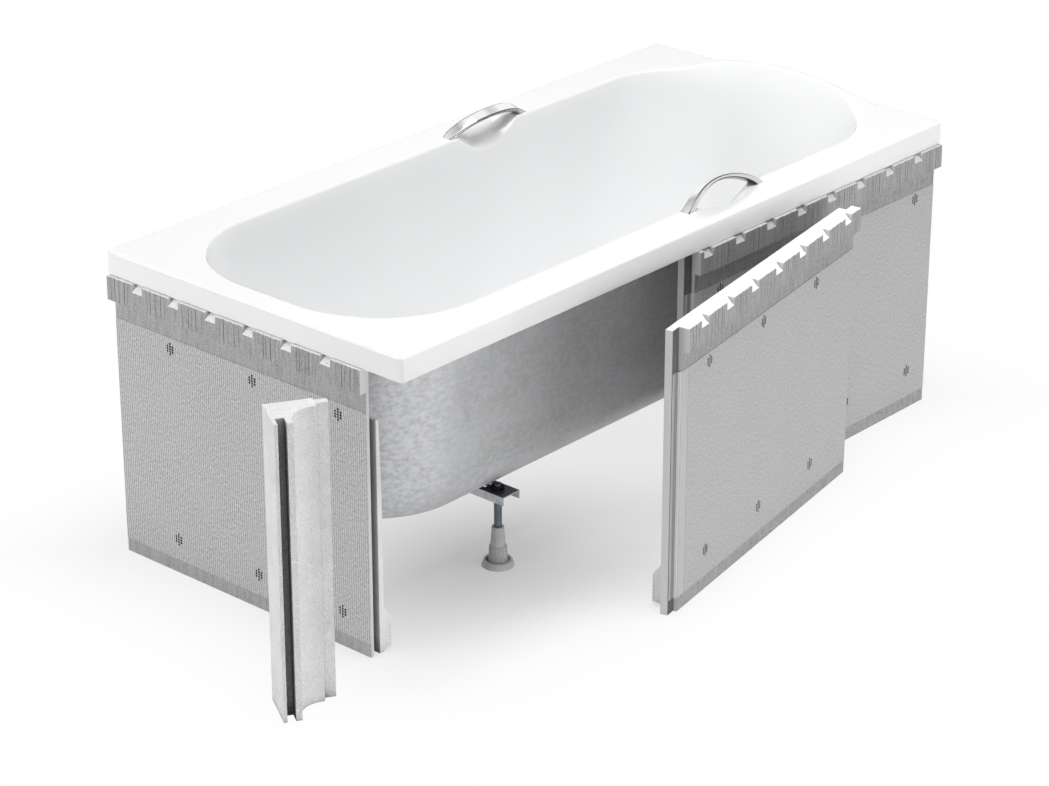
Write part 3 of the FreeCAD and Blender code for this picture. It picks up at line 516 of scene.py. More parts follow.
def mesh_of(name, points, faces=()):
    mesh = bpy.data.meshes.new(name)
    mesh.from_pydata(points, [], list(faces))
    return mesh


def new_piece(name, mesh, *materials):
    for material in materials:
        mesh.materials.append(material)
    piece = bpy.data.objects.new(name, mesh)
    bpy.context.scene.collection.objects.link(piece)
    return piece


def settled(piece):
    """Works a piece's modifiers into a plain mesh."""
    graph = bpy.context.evaluated_depsgraph_get()
    mesh = bpy.data.meshes.new_from_object(piece.evaluated_get(graph), depsgraph=graph)
    piece.modifiers.clear()
    old, piece.data = piece.data, mesh
    bpy.data.meshes.remove(old)
    mesh.name = piece.name


def smooth(mesh, degrees):
    mesh.polygons.foreach_set("use_smooth", [True] * len(mesh.polygons))
    mesh.set_sharp_from_angle(angle=math.radians(degrees))


def lofted(name, rings):
    """A mesh from rings of points, joined ring to ring, with the last ring filled."""
    count = len(rings[0])
    last = (len(rings) - 1) * count
    faces = []
    for lower in range(0, last, count):
        for i in range(count):
            j = (i + 1) % count
            faces.append((lower + i, lower + j, lower + count + j, lower + count + i))
    faces.append(tuple(last + i for i in range(count)))
    return mesh_of(name, [tuple(point) for ring in rings for point in ring], faces)


def arc_radius(half, rise):
    """Radius of the arc with this rise over half a chord."""
    return (half**2 + rise**2) / (2 * rise)


def panel_matrix(name):
    """From a panel's own frame, X along it, Y inwards and Z up, to the room."""
    panel = PANELS[name]
    return Matrix.Translation((*panel["at"], 0.0)) @ Matrix.Rotation(math.radians(panel["turn"]), 4, "Z")


def sheet_mesh(name, path, rows, ripple):
    """A thin rippled sheet along a path in plan, as high as the fleece, with a UV map in metres."""
    run = [0.0]
    for before, after in zip(path, path[1:]):
        run.append(run[-1] + math.dist(before, after))
    points, marks = [], []
    for row in range(rows + 1):
        up = FLEECE_LOW + (FLEECE_HIGH - FLEECE_LOW) * row / rows
        for (x, y), along in zip(path, run):
            wave = math.sin(along * 61.0 + up * 23.0) * math.sin(up * 47.0 - along * 19.0)
            points.append((x, y + ripple * wave, up))
            marks.append((along, up - FLEECE_LOW))
    wide = len(path)
    corners = [row * wide + i for row in range(rows) for i in range(wide - 1)]
    mesh = mesh_of(name, points, [(c, c + 1, c + wide + 1, c + wide) for c in corners])
    layer = mesh.uv_layers.new(name="cloth")
    for loop in mesh.loops:
        layer.data[loop.index].uv = marks[loop.vertex_index]
    return mesh


# The shell


class ShellForm:
    """The enamelled side of the shell, sampled round the basin. A sample is one line from rim to floor."""

    CORNER_STEPS, END_STEPS, WALL_STEPS, RECESS_STEPS, FLOOR_STEPS = 28, 18, 24, 56, 10
    QUARTER = [math.radians(turn) for turn in (30, 60, 90)]
    RIM_SHARES, CROWN_SHARES = (0.9, 0.75, 0.6, 0.4, 0.2), (0.8, 0.6, 0.4, 0.2)
    EDGE_SHARES, LIP_SHARES = (1.0, 0.75, 0.5, 0.25), (0.0, 0.2, 0.4, 0.6, 0.8, 1.0)
    WALL_SHARES = (0.12, 0.3, 0.5, 0.7, 0.88)

    # How far the walls run on above the raised head, and the height over which their lean is felt.
    ABOVE, FEELER = 0.020, 0.1
    # Radii of the floor's corners, as shares of its half width.
    FOOT_CORNER, HEAD_CORNER = 0.97, 0.87
    # The raised head: its room to the sides and the outer end, and its reach back from the basin's edge.
    ARCH_FROM_SIDE, ARCH_FROM_END, ARCH_REACH = 0.160, 0.014, 0.100
    # Room beside a hand recess for its close samples, and between them and the next one.
    RECESS_ROOM, RECESS_GAP = 0.012, 0.01
    # The last share of a long wall, and the share of a corner's samples on each straight side of the rim.
    LAST_SHARE, STRAIGHT = 0.995, 0.38
    # The rim beside the basin's edge: the run of close points, and the least run as a multiple of the lip.
    EDGE_RUN, LIP_ROOM = 0.02, 1.4
    # A sample crosses the raised head from this rise on, where it runs this far towards the head end.
    LEAST_RISE, LEAST_HEADING = 0.0005, 0.2

    def __init__(self, settings):
        self.sizes = settings
        self.high = RIM_Z + RISE + self.ABOVE
        past = (RISE + self.ABOVE) / (RIM_Z - SHELL_LOW[2])
        self.bounds = {}
        for key, half in (("left", HALF_LENGTH), ("right", HALF_LENGTH), ("side", HALF_WIDTH)):
            floor, rim = BASIN_FLOOR[key], BASIN_RIM[key]
            self.bounds[key] = (half - floor, half - rim + (floor - rim) * past)
        foot = self.FOOT_CORNER * self.bounds["side"][0]
        head = self.HEAD_CORNER * self.bounds["side"][0]
        corners = ((1, -1, head), (1, 1, head), (-1, 1, foot), (-1, -1, foot))
        self.corners = [self.corner(*corner) for corner in corners]
        self.tilt = settings.recess_dip / settings.recess_reach
        self.cosine = 1.0 / math.hypot(1.0, self.tilt)
        self.scoop = arc_radius(settings.recess_length / 2, settings.recess_dip * self.cosine)
        self.arch_half = HALF_WIDTH - self.ARCH_FROM_SIDE
        self.arch = arc_radius(self.arch_half, RISE)
        self.arch_end = HALF_LENGTH - self.ARCH_FROM_END
        self.samples = self.round_trip()

    def wall(self, key, z):
        low, top = self.bounds[key]
        return low + (top - low) * (z - FLOOR_Z) / (self.high - FLOOR_Z)

    def slope(self, key):
        low, top = self.bounds[key]
        return (top - low) / (self.high - FLOOR_Z)

    def corner(self, x_sign, y_sign, radius):
        key = "right" if x_sign > 0 else "left"
        end = Vector((x_sign, 0.0, -self.slope(key))).normalized()
        side = Vector((0.0, y_sign, -self.slope("side"))).normalized()
        edge = end.cross(side).normalized()
        normals = {"end": end, "side": side, "edge": edge}
        return {"key": key, "x": x_sign, "y": y_sign, "radius": radius, **normals}

    def corner_point(self, corner, share, z):
        """A point on a rounded corner, from its side wall at share 0 to its end wall at share 1."""
        apex = Vector((corner["x"] * self.wall(corner["key"], z), corner["y"] * self.wall("side", z), z))
        side, end, radius = corner["side"], corner["end"], corner["radius"]
        normal = side.slerp(end, share)
        point = apex - (side + end) * (radius / (1.0 + side.dot(end))) + normal * radius
        return point + corner["edge"] * ((z - point.z) / corner["edge"].z), normal

    def round_trip(self):
        """Samples round the basin: (corner, share) on a corner, (from, to, share) on a straight wall.

        The corners are counted from the front right one to the back right, back left and front left ones.
        """
        samples = []
        steps = [n / self.CORNER_STEPS for n in range(self.CORNER_STEPS)]
        for start, near, far in ((3, 0, 1), (1, 2, 3)):
            samples += [(start, near, f) for f in self.long_steps(start, near)]
            samples += [(near, f) for f in steps]
            samples += [(near, far, n / self.END_STEPS) for n in range(self.END_STEPS)]
            samples += [(far, 1.0 - f) for f in steps]
        return samples

    def long_steps(self, first, last):
        """Shares along a long wall, close together at the hand recess."""
        start = self.corner_point(self.corners[first], 0.0, RIM_Z)[0].x
        stop = self.corner_point(self.corners[last], 0.0, RIM_Z)[0].x
        half = self.sizes.recess_length / 2 + self.RECESS_ROOM
        fine = [GRIP_X - half + 2 * half * n / self.RECESS_STEPS for n in range(self.RECESS_STEPS + 1)]
        coarse = [min(start, stop) + abs(stop - start) * n / self.WALL_STEPS for n in range(self.WALL_STEPS)]
        places = fine + [x for x in coarse if abs(x - GRIP_X) > half + self.RECESS_GAP]
        shares = sorted((x - start) / (stop - start) for x in places)
        return [share for share in shares if 0.0 <= share < self.LAST_SHARE]

    def at(self, sample, z):
        """The wall's point and outward normal for a sample at a height."""
        if len(sample) == 2:
            return self.corner_point(self.corners[sample[0]], sample[1], z)
        first, last = self.corners[sample[0]], self.corners[sample[1]]
        long_wall = first["y"] == last["y"]
        share = 0.0 if long_wall else 1.0
        start, normal = self.corner_point(first, share, z)
        stop, _ = self.corner_point(last, share, z)
        return start.lerp(stop, sample[2]), normal

    def outer(self, sample):
        """The matching point of the rim's outline and its outward normal."""
        if len(sample) == 3:
            point, normal = self.at(sample, RIM_Z)
            flat = Vector((normal.x, normal.y, 0.0)).normalized()
            if abs(flat.y) > 0.5:
                return Vector((point.x, math.copysign(HALF_WIDTH, flat.y), RIM_Z)), flat
            return Vector((math.copysign(HALF_LENGTH, flat.x), point.y, RIM_Z)), flat
        corner, share, radius = self.corners[sample[0]], sample[1], self.sizes.rim_corner
        x_sign, y_sign = corner["x"], corner["y"]
        if share < self.STRAIGHT:
            start = self.corner_point(corner, 0.0, RIM_Z)[0].x
            x = start + (x_sign * (HALF_LENGTH - radius) - start) * share / self.STRAIGHT
            return Vector((x, y_sign * HALF_WIDTH, RIM_Z)), Vector((0.0, y_sign, 0.0))
        if share > 1.0 - self.STRAIGHT:
            stop = self.corner_point(corner, 1.0, RIM_Z)[0].y
            y = stop + (y_sign * (HALF_WIDTH - radius) - stop) * (1.0 - share) / self.STRAIGHT
            return Vector((x_sign * HALF_LENGTH, y, RIM_Z)), Vector((x_sign, 0.0, 0.0))
        turn = (share - self.STRAIGHT) / (1.0 - 2.0 * self.STRAIGHT) * math.pi / 2
        normal = Vector((x_sign * math.sin(turn), y_sign * math.cos(turn), 0.0))
        centre = Vector((x_sign * (HALF_LENGTH - radius), y_sign * (HALF_WIDTH - radius), RIM_Z))
        return centre + normal * radius, normal

    def arch_rise(self, x, y):
        if x < HALF_LENGTH - BASIN_RIM["right"] - self.ARCH_REACH or abs(y) >= self.arch_half:
            return 0.0
        return math.sqrt(self.arch**2 - y * y) - (self.arch - RISE)

    def dip(self, x):
        """How far the basin's edge drops in a hand recess."""
        off = abs(x - GRIP_X)
        if off >= self.sizes.recess_length / 2:
            return 0.0
        lift = (self.scoop - math.sqrt(self.scoop**2 - off * off)) / self.cosine
        return max(0.0, (self.sizes.recess_dip - lift) / (1.0 - self.slope("side") * self.tilt))

    def edge(self, sample):
        """The basin's sharp edge, the slope of the rim beside it, and its rise over the rim."""
        point, _ = self.at(sample, RIM_Z)
        if len(sample) == 3 and abs(point.y) > self.bounds["side"][0]:
            drop = self.dip(point.x)
            if drop > 0.0:
                return self.at(sample, RIM_Z - drop)[0], self.tilt, -drop
        rise = self.arch_rise(point.x, point.y)
        # The wall leans, so the point and its rise are settled in a few rounds.
        for _ in range(4):
            point, _ = self.at(sample, RIM_Z + rise)
            rise = self.arch_rise(point.x, point.y)
        return point, 0.0, rise

    def profile(self, sample):
        """The points of one sample, from the apron's lower edge over the rim and down to the floor."""
        line = self.over_rim(sample)
        return line + self.down_wall(sample, line[-1])

    def over_rim(self, sample):
        """Points from the apron's lower edge to the end of the basin's lip."""
        sizes = self.sizes
        outer, facing = self.outer(sample)
        edge, tilt, rise = self.edge(sample)
        line = [outer - UP * APRON_HEIGHT, outer - UP * sizes.rim_round]
        for angle in self.QUARTER:
            inset = facing * (-sizes.rim_round * (1.0 - math.cos(angle)))
            line.append(outer + inset - UP * (sizes.rim_round * (1.0 - math.sin(angle))))
        out = Vector((line[-1].x - edge.x, line[-1].y - edge.y, 0.0))
        width, out = out.length, out.normalized()

        def on_rim(away, height):
            return Vector((edge.x + out.x * away, edge.y + out.y * away, height))

        raised = rise > self.LEAST_RISE and out.x > self.LEAST_HEADING
        if raised:
            foot = (self.arch_end - edge.x) / out.x
            crown = self.arch_rise(self.arch_end, edge.y + out.y * foot)
            radius = min(sizes.arch_round, crown, foot * 0.5)
            line += [on_rim(foot, RIM_Z), on_rim(foot, RIM_Z + crown - radius)]
            for angle in self.QUARTER:
                away = foot - radius * (1.0 - math.cos(angle))
                line.append(on_rim(away, RIM_Z + crown - radius * (1.0 - math.sin(angle))))
            run, shares = foot - radius, self.CROWN_SHARES
        else:
            run, shares = -rise / tilt if rise < 0.0 else self.EDGE_RUN, self.EDGE_SHARES
            run = max(run, sizes.lip_round * self.LIP_ROOM)
            line += [on_rim(run + (width - run) * share, RIM_Z) for share in self.RIM_SHARES]
        start = Vector((out.x, out.y, tilt)).normalized() * sizes.lip_round
        reach = math.hypot(start.x, start.y)
        for share in shares:
            away = reach + (run - reach) * share
            height = edge.z + tilt * away
            if raised:
                height = RIM_Z + self.arch_rise(edge.x + out.x * away, edge.y + out.y * away)
            line.append(on_rim(away, min(height, RIM_Z) if rise < 0.0 else height))
        below = self.at(sample, edge.z - self.FEELER)[0]
        first, last = edge + start, edge + (below - edge).normalized() * sizes.lip_round
        for share in self.LIP_SHARES:
            line.append(first * (1 - share) ** 2 + edge * (2 * share * (1 - share)) + last * share**2)
        return line

    def down_wall(self, sample, lip):
        """Points from the lip's end down the wall and round to the floor."""
        radius = self.sizes.floor_round
        foot, normal = self.at(sample, FLOOR_Z)
        up = (self.at(sample, FLOOR_Z + self.FEELER)[0] - foot).normalized()
        inward = Vector((-normal.x, -normal.y, 0.0)).normalized()
        half = up.angle(inward) / 2
        reach = radius / math.tan(half)
        top = foot + up * reach
        centre = foot + (up + inward).normalized() * (radius / math.sin(half))
        spoke, rest = (top - centre).normalized(), (foot + inward * reach - centre).normalized()
        line = [lip.lerp(top, share) for share in self.WALL_SHARES]
        for n in range(self.FLOOR_STEPS + 1):
            line.append(centre + spoke.slerp(rest, n / self.FLOOR_STEPS) * radius)
        return line


class BATH_OT_shell(bpy.types.Operator):
    """Makes the enamelled shell: rim, basin, hand recesses and raised head end, with bare steel behind"""

    bl_idname = "bath.shell"
    bl_label = "Enamelled shell"

    DRAIN_FROM_END, SPILL_BELOW_RIM = 0.250, 0.095
    FOOT_WALL_MIDDLE = (2, 3, 0.5)

    def execute(self, context):
        settings = context.scene.bath_shell
        form = ShellForm(settings)
        profiles = [form.profile(sample) for sample in form.samples]
        mesh = lofted("enamelled_shell", list(zip(*profiles)))
        if mesh.polygons[-1].normal.z < 0.0:
            mesh.flip_normals()
        finishes = enamel_finish(settings.enamel), steel_finish(settings.steel)
        piece = new_piece("enamelled_shell", mesh, *finishes)
        wall = piece.modifiers.new("sheet", "SOLIDIFY")
        wall.thickness, wall.offset, wall.material_offset = SHEET, -1.0, 1
        wall.use_even_offset = True
        settled(piece)
        drain = Vector((-HALF_LENGTH + self.DRAIN_FROM_END, 0.0, FLOOR_Z))
        spill = form.at(self.FOOT_WALL_MIDDLE, RIM_Z - self.SPILL_BELOW_RIM)[0]
        lean = Vector((1.0, 0.0, form.slope("left"))).normalized()
        for centre, axis in ((drain, UP), (spill, lean)):
            self.bore(piece, centre, axis, settings.hole_radius)
        smooth(piece.data, 38.0)
        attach(piece, "tub")
        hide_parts("tub_shell")
        return {"FINISHED"}

    @staticmethod
    def bore(piece, centre, axis, radius):
        mesh = bpy.data.meshes.new("bore")
        shape = bmesh.new()
        place = Matrix.Translation(centre) @ UP.rotation_difference(axis).to_matrix().to_4x4()
        bmesh.ops.create_cone(
            shape, cap_ends=True, segments=64, radius1=radius, radius2=radius, depth=0.04, matrix=place
        )
        shape.to_mesh(mesh)
        shape.free()
        cutter = new_piece("bore", mesh)
        cut = piece.modifiers.new("bore", "BOOLEAN")
        cut.operation, cut.object = "DIFFERENCE", cutter
        settled(piece)
        bpy.data.objects.remove(cutter)


class BATH_OT_grips(bpy.types.Operator):
    """Makes the two bow grips of polished chrome"""

    bl_idname = "bath.grips"
    bl_label = "Bow grips"

    HALF_STEPS, ROUND_STEPS = 36, 5
    OUTER_RISE, INNER_RISE, FOOT = 0.042, 0.0335, 0.020

    def execute(self, context):
        settings = context.scene.bath_shell
        chrome = chrome_finish(settings.chrome)
        for word, side in (("front", -1.0), ("back", 1.0)):
            piece = new_piece(f"bow_{word}", self.bow(settings, side), chrome)
            smooth(piece.data, 50.0)
            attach(piece, "tub")
            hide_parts(f"grip_{word}")
        return {"FINISHED"}

    @staticmethod
    def arc(half, rise, share):
        """A point of a flat arch over a chord, at a share from -1 to 1."""
        radius = arc_radius(half, rise)
        angle = math.asin(half / radius) * share
        return Vector((radius * math.sin(angle), 0.0, radius * math.cos(angle) + rise - radius))

    def bow(self, settings, side):
        """The band between two arches, with rounded edges, leaning more the higher it rises."""
        half, radius = settings.grip_width / 2, settings.grip_round
        rings, edges = [], []
        for n in range(2 * self.HALF_STEPS + 1):
            share = n / self.HALF_STEPS - 1.0
            outer = self.arc(GRIP_HALF_SPAN, self.OUTER_RISE, share)
            inner = self.arc(GRIP_HALF_SPAN - self.FOOT, self.INNER_RISE, share)
            thick = outer - inner
            depth = thick.length
            thick.normalize()
            ring = []
            for y_sign, t_sign, start in ((1, 1, 0), (-1, 1, 90), (-1, -1, 180), (1, -1, 270)):
                for step in range(self.ROUND_STEPS + 1):
                    turn = math.radians(start + step * 90.0 / self.ROUND_STEPS)
                    along = y_sign * (half - radius) + radius * math.cos(turn)
                    across = depth / 2 + t_sign * (depth / 2 - radius) + radius * math.sin(turn)
                    ring.append(inner + thick * across + Vector((0.0, along, 0.0)))
                    # Marks the rounded edges' middle steps, where the chrome gets painted dark lines.
                    edges.append(0.0 if step in (0, self.ROUND_STEPS) else 1.0)
            lean = settings.grip_lean * math.sqrt(max(0.0, inner.z) / self.INNER_RISE)
            lean = Matrix.Rotation(side * lean, 3, "X")
            rings.append([lean @ point + Vector((GRIP_X, side * GRIP_Y, RIM_Z)) for point in ring])
        mesh = lofted("bow", rings)
        shape = bmesh.new()
        shape.from_mesh(mesh)
        shape.verts.ensure_lookup_table()
        shape.faces.new([shape.verts[i] for i in reversed(range(len(rings[0])))])
        bmesh.ops.recalc_face_normals(shape, faces=shape.faces)
        shape.to_mesh(mesh)
        shape.free()
        mesh.attributes.new("edge", "FLOAT", "POINT").data.foreach_set("value", edges)
        return mesh


class BATH_OT_threads(bpy.types.Operator):
    """Winds the thread of the four rods with a node tree"""

    bl_idname = "bath.threads"
    bl_label = "Rod threads"

    OVER_SLEEVE, UNDER_NUT = 0.001, 0.0005
    RADIUS, RIDGE, STEPS = 0.00795, 0.0003, 20

    def execute(self, context):
        settings = context.scene.bath_shell
        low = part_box("foot_1_sleeve")[1][2] + self.OVER_SLEEVE
        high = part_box("foot_nuts")[0][2] - self.UNDER_NUT
        zinc = metal_finish("zinc_thread", settings.zinc, 0.24, 0.12)
        piece = new_piece("rod_threads", mesh_of("rod_threads", [(x, y, low) for x, y in FEET]), zinc)
        turns = (high - low) / settings.thread_pitch
        self.winding(zinc).apply(piece, Turns=turns, Height=high - low, Radius=self.RADIUS)
        smooth(piece.data, 60.0)
        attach(piece, "tub")
        return {"FINISHED"}

    def winding(self, material):
        tree = Scatter("rod_thread", Turns="Float", Height="Float", Radius="Float")
        turns, height, radius = (tree.given[name] for name in ("Turns", "Height", "Radius"))
        sizes = {"Resolution": self.STEPS, "Rotations": turns, "Height": height}
        sizes |= {"Start Radius": radius, "End Radius": radius}
        helix = tree.value("GeometryNodeCurveSpiral", None, sizes)
        ridge = {"Resolution": 4, "Radius": self.RIDGE}
        ridge = tree.value("GeometryNodeCurvePrimitiveCircle", None, ridge)
        return tree.spread(tree.value("GeometryNodeCurveToMesh", None, {0: helix, 1: ridge}), material)


def dress(finishes):
    for node, material in finishes.items():
        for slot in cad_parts[node].material_slots:
            slot.material = material


class BATH_OT_metalwork(bpy.types.Operator):
    """Gives the studs, nuts, beams, rods and feet their finishes"""

    bl_idname = "bath.metalwork"
    bl_label = "Beams and feet"

    def execute(self, context):
        settings = context.scene.bath_shell
        zinc = metal_finish("zinc_plate", settings.zinc, 0.28, 0.12)
        black = metal_finish("blackened_steel", settings.black, 0.3, 0.3)
        sheet, plastic = galvanised_finish(settings.galvanised), plastic_finish(settings.plastic)
        finishes = {"grip_studs": zinc, "grip_nuts": zinc, "foot_rods": zinc, "foot_nuts": black}
        finishes |= {"foot_beam_left": sheet, "foot_beam_right": sheet}
        for n in range(1, 5):
            finishes |= {f"foot_{n}_base": plastic, f"foot_{n}_sleeve": plastic}
        dress(finishes)
        return {"FINISHED"}


class BATH_OT_foam(bpy.types.Operator):
    """Gives the panels' plies, blocks and strips and the corner post their finishes"""

    bl_idname = "bath.foam"
    bl_label = "Foam panels and post"

    # Shades of the cut tops, from torn to whole foam; the right panel's are darker as painted shade behind
    # the left panel.
    TOP_TEAR_AND_SHADE = {"end": (0.5, 1.08), "right": (0.36, 0.72), "left": (0.8, 1.08)}
    # The cores' skin, seen at the panels' joints, is darkened as painted shade, and the post's foam is
    # lightened as painted light.
    BEAD, TONGUE_SHARE, POST_SHARE = 0.0042, 0.3, 1.08

    def execute(self, context):
        settings = context.scene.bath_skirt
        skin, raw = settings.skin, settings.raw
        core = raw_foam_finish("foam_core", raw, self.BEAD, relief=0.25)
        post = raw_foam_finish("post_foam", tinted(raw, self.POST_SHARE), self.BEAD, relief=0.9)
        finishes = {"corner_post": post}
        for name in PANELS:
            outward = panel_matrix(name).to_3x3() @ Vector((0.0, -1.0, 0.0))
            sides = (raw, outward, self.TOP_TEAR_AND_SHADE[name])
            face = foam_skin_finish(f"{name}_skin", skin, *sides)
            tongue = foam_skin_finish(f"{name}_tongue", tinted(skin, self.TONGUE_SHARE), *sides)
            finishes |= {f"{name}_rear": core, f"{name}_block": core}
            finishes |= {f"{name}_face": face, f"{name}_strip": face, f"{name}_core": tongue}
        dress(finishes)
        return {"FINISHED"}


class BATH_OT_strips(bpy.types.Operator):
    """Makes the notched strips under the rim, with their saw cuts and worn edges"""

    bl_idname = "bath.strips"
    bl_label = "Notched strips"

    PROUD, WIDTH, PITCH, TAIL = 0.016, 0.029, 0.103, 0.036
    # Saw cuts: their places after a notch and their shares of the full depth.
    CUTS = {0.041: 0.15, 0.054: 0.8, 0.066: 0.2, 0.079: 1.0, 0.091: 0.15}
    SCATTER, SHALLOWEST, CLEAR_OF_END = 0.004, 0.7, 0.008
    OVERHANG = {"end": (-0.004, 0.0), "right": (0.0, 0.004), "left": (0.0, 0.0)}
    WORN_STEP = 0.006

    def execute(self, context):
        settings = context.scene.bath_skirt
        for seed, (name, panel) in enumerate(PANELS.items()):
            before, after = self.OVERHANG[name]
            count = math.floor((panel["length"] - panel["notch"] - self.WIDTH - self.TAIL) / self.PITCH) + 1
            notches = [panel["notch"] + n * self.PITCH for n in range(count)]
            low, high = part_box(f"{name}_strip")[0][2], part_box(f"{name}_strip")[1][2]
            chance = random.Random(seed)
            stations = self.stations((before, panel["length"] + after), notches, settings, chance)
            mesh = self.bar(f"{name}_notched", stations, low, high, settings.edge_wear, chance)
            piece = new_piece(f"{name}_notched", mesh, bpy.data.materials[f"{name}_skin"])
            wear = piece.modifiers.new("wear", "BEVEL")
            wear.width, wear.segments, wear.limit_method = settings.edge_wear * 0.5, 1, "ANGLE"
            settled(piece)
            piece.data.transform(panel_matrix(name))
            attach(piece, f"{name}_panel")
            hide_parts(f"{name}_strip")
        return {"FINISHED"}

    def stations(self, ends, notches, settings, chance):
        """Where the strip's section changes, from left to right: place, section and the saw's depth there."""
        full, half = settings.saw_depth, settings.kerf / 2
        cuts = [(start, start + self.WIDTH, "notch", full) for start in notches]
        for start in [notches[0] - self.PITCH] + notches:
            for offset, share in self.CUTS.items():
                x = start + offset + chance.uniform(-self.SCATTER, self.SCATTER)
                depth = full * share * chance.uniform(self.SHALLOWEST, 1.0)
                if ends[0] + self.CLEAR_OF_END < x < ends[1] - self.CLEAR_OF_END:
                    cuts.append((x - half, x + half, "kerf", depth))
        stations = [(ends[0], "plain", full)]
        for start, stop, kind, depth in sorted(cuts) + [(ends[1], ends[1], "plain", full)]:
            left, _, saw = stations[-1]
            steps = round((start - left) / self.WORN_STEP)
            stations += [(left + (start - left) * n / steps, "plain", saw) for n in range(1, steps)]
            stations.append((start, "plain", depth))
            if kind != "plain":
                stations += [(start, kind, depth), (stop, kind, depth), (stop, "plain", depth)]
        return stations

    def bar(self, name, stations, low, high, wear, chance):
        """The strip's mesh: its section at each station, joined one to the next, with a ragged upper edge."""
        front, middle = -self.PROUD, high - self.PROUD
        shape = bmesh.new()
        rings = []
        for x, kind, saw in stations:
            root = front + saw
            edge = (front + chance.uniform(0.0, wear), high - chance.uniform(0.0, wear))
            outline = {
                "plain": [(root, high), edge, (front, middle), (front, low)],
                "notch": [(root, high + root), (front, middle), (front, middle), (front, low)],
                "kerf": [(root, high), (root, high), (root, middle), (root, low)],
            }[kind]
            section = [(0.0, low), (0.0, high), *outline, (root, low)]
            rings.append([shape.verts.new((x, y, z)) for y, z in section])
        for before, after in zip(rings, rings[1:]):
            for i in range(len(before)):
                shape.faces.new((before[i - 1], before[i], after[i], after[i - 1]))
        shape.faces.new(rings[0])
        shape.faces.new(rings[-1])
        bmesh.ops.remove_doubles(shape, verts=shape.verts, dist=1e-6)
        bmesh.ops.recalc_face_normals(shape, faces=shape.faces)
        mesh = bpy.data.meshes.new(name)
        shape.to_mesh(mesh)
        shape.free()
        return mesh


class BATH_OT_fleece(bpy.types.Operator):
    """Lays the ribbed fleece on the three panels"""

    bl_idname = "bath.fleece"
    bl_label = "Fleece"

    # How strong the fleece's ribs are on each panel, in their bumps and in their painted light and shade.
    RIB_RELIEF_AND_LIGHT = {"end": 1.0, "right": 0.45, "left": 0.45}
    # Shares of how far the fleece stands off: its outer side, its ripple and its thickness.
    OUTSIDE, RIPPLE, THICKNESS = 0.85, 0.12, 0.6

    def execute(self, context):
        settings = context.scene.bath_skirt
        proud = settings.fleece_proud
        rows = round((FLEECE_HIGH - FLEECE_LOW) / settings.cell)
        for name, panel in PANELS.items():
            finish = fleece_finish(f"{name}_fleece", settings.fleece, settings.rib_pitch, self.RIB_RELIEF_AND_LIGHT[name])
            width = panel["length"] - panel["lap"]
            columns = round(width / settings.cell)
            path = [(panel["lap"] + width * n / columns, -proud * self.OUTSIDE) for n in range(columns + 1)]
            mesh = sheet_mesh(f"{name}_cloth", path, rows, proud * self.RIPPLE)
            mesh.transform(panel_matrix(name))
            piece = new_piece(f"{name}_cloth", mesh, finish)
            thick = piece.modifiers.new("thickness", "SOLIDIFY")
            thick.thickness, thick.offset = proud * self.THICKNESS, -1.0
            settled(piece)
            smooth(piece.data, 40.0)
            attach(piece, f"{name}_panel")
            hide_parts(f"{name}_fleece")
        return {"FINISHED"}


class BATH_OT_flaps(bpy.types.Operator):
    """Hangs the netting flap that laps over each front joint"""

    bl_idname = "bath.flaps"
    bl_label = "Netting flaps"

    REACH, TONGUE = 0.023, 0.0075
    BEND, STEP, ROWS = 0.003, 0.003, 90
    # How far the netting lies off its panel, as a share of the fleece's, and its ripple as a share of that.
    OFF, RIPPLE = 0.5, 0.4

    def execute(self, context):
        settings = context.scene.bath_skirt
        netting = mesh_finish(settings.mesh, settings.mesh_pitch)
        off = settings.fleece_proud * self.OFF
        deep = self.TONGUE - off
        for name in ("right", "left"):
            bends = [(PANELS[name]["lap"], -off), (0.0, -off), (-self.BEND, deep * 0.5)]
            bends += [(-2 * self.BEND, deep), (-self.REACH, deep)]
            path = []
            for before, after in zip(bends, bends[1:]):
                steps = max(2, round(math.dist(before, after) / self.STEP))
                path += [tuple(Vector(before).lerp(Vector(after), n / steps)) for n in range(steps)]
            path = self.relaxed(path + [bends[-1]])
            mesh = sheet_mesh(f"{name}_netting", path, self.ROWS, off * self.RIPPLE)
            mesh.transform(panel_matrix(name))
            mesh.flip_normals()
            piece = new_piece(f"{name}_netting", mesh, netting)
            smooth(piece.data, 60.0)
            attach(piece, f"{name}_panel")
            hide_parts(f"{name}_flap")
        return {"FINISHED"}

    @staticmethod
    def relaxed(path):
        """The path with its bends eased, as cloth takes them."""
        for _ in range(2):
            eased = []
            for a, b, c in zip(path, path[1:], path[2:]):
                eased.append(((a[0] + 2 * b[0] + c[0]) / 4, (a[1] + 2 * b[1] + c[1]) / 4))
            path = [path[0]] + eased + [path[-1]]
        return path


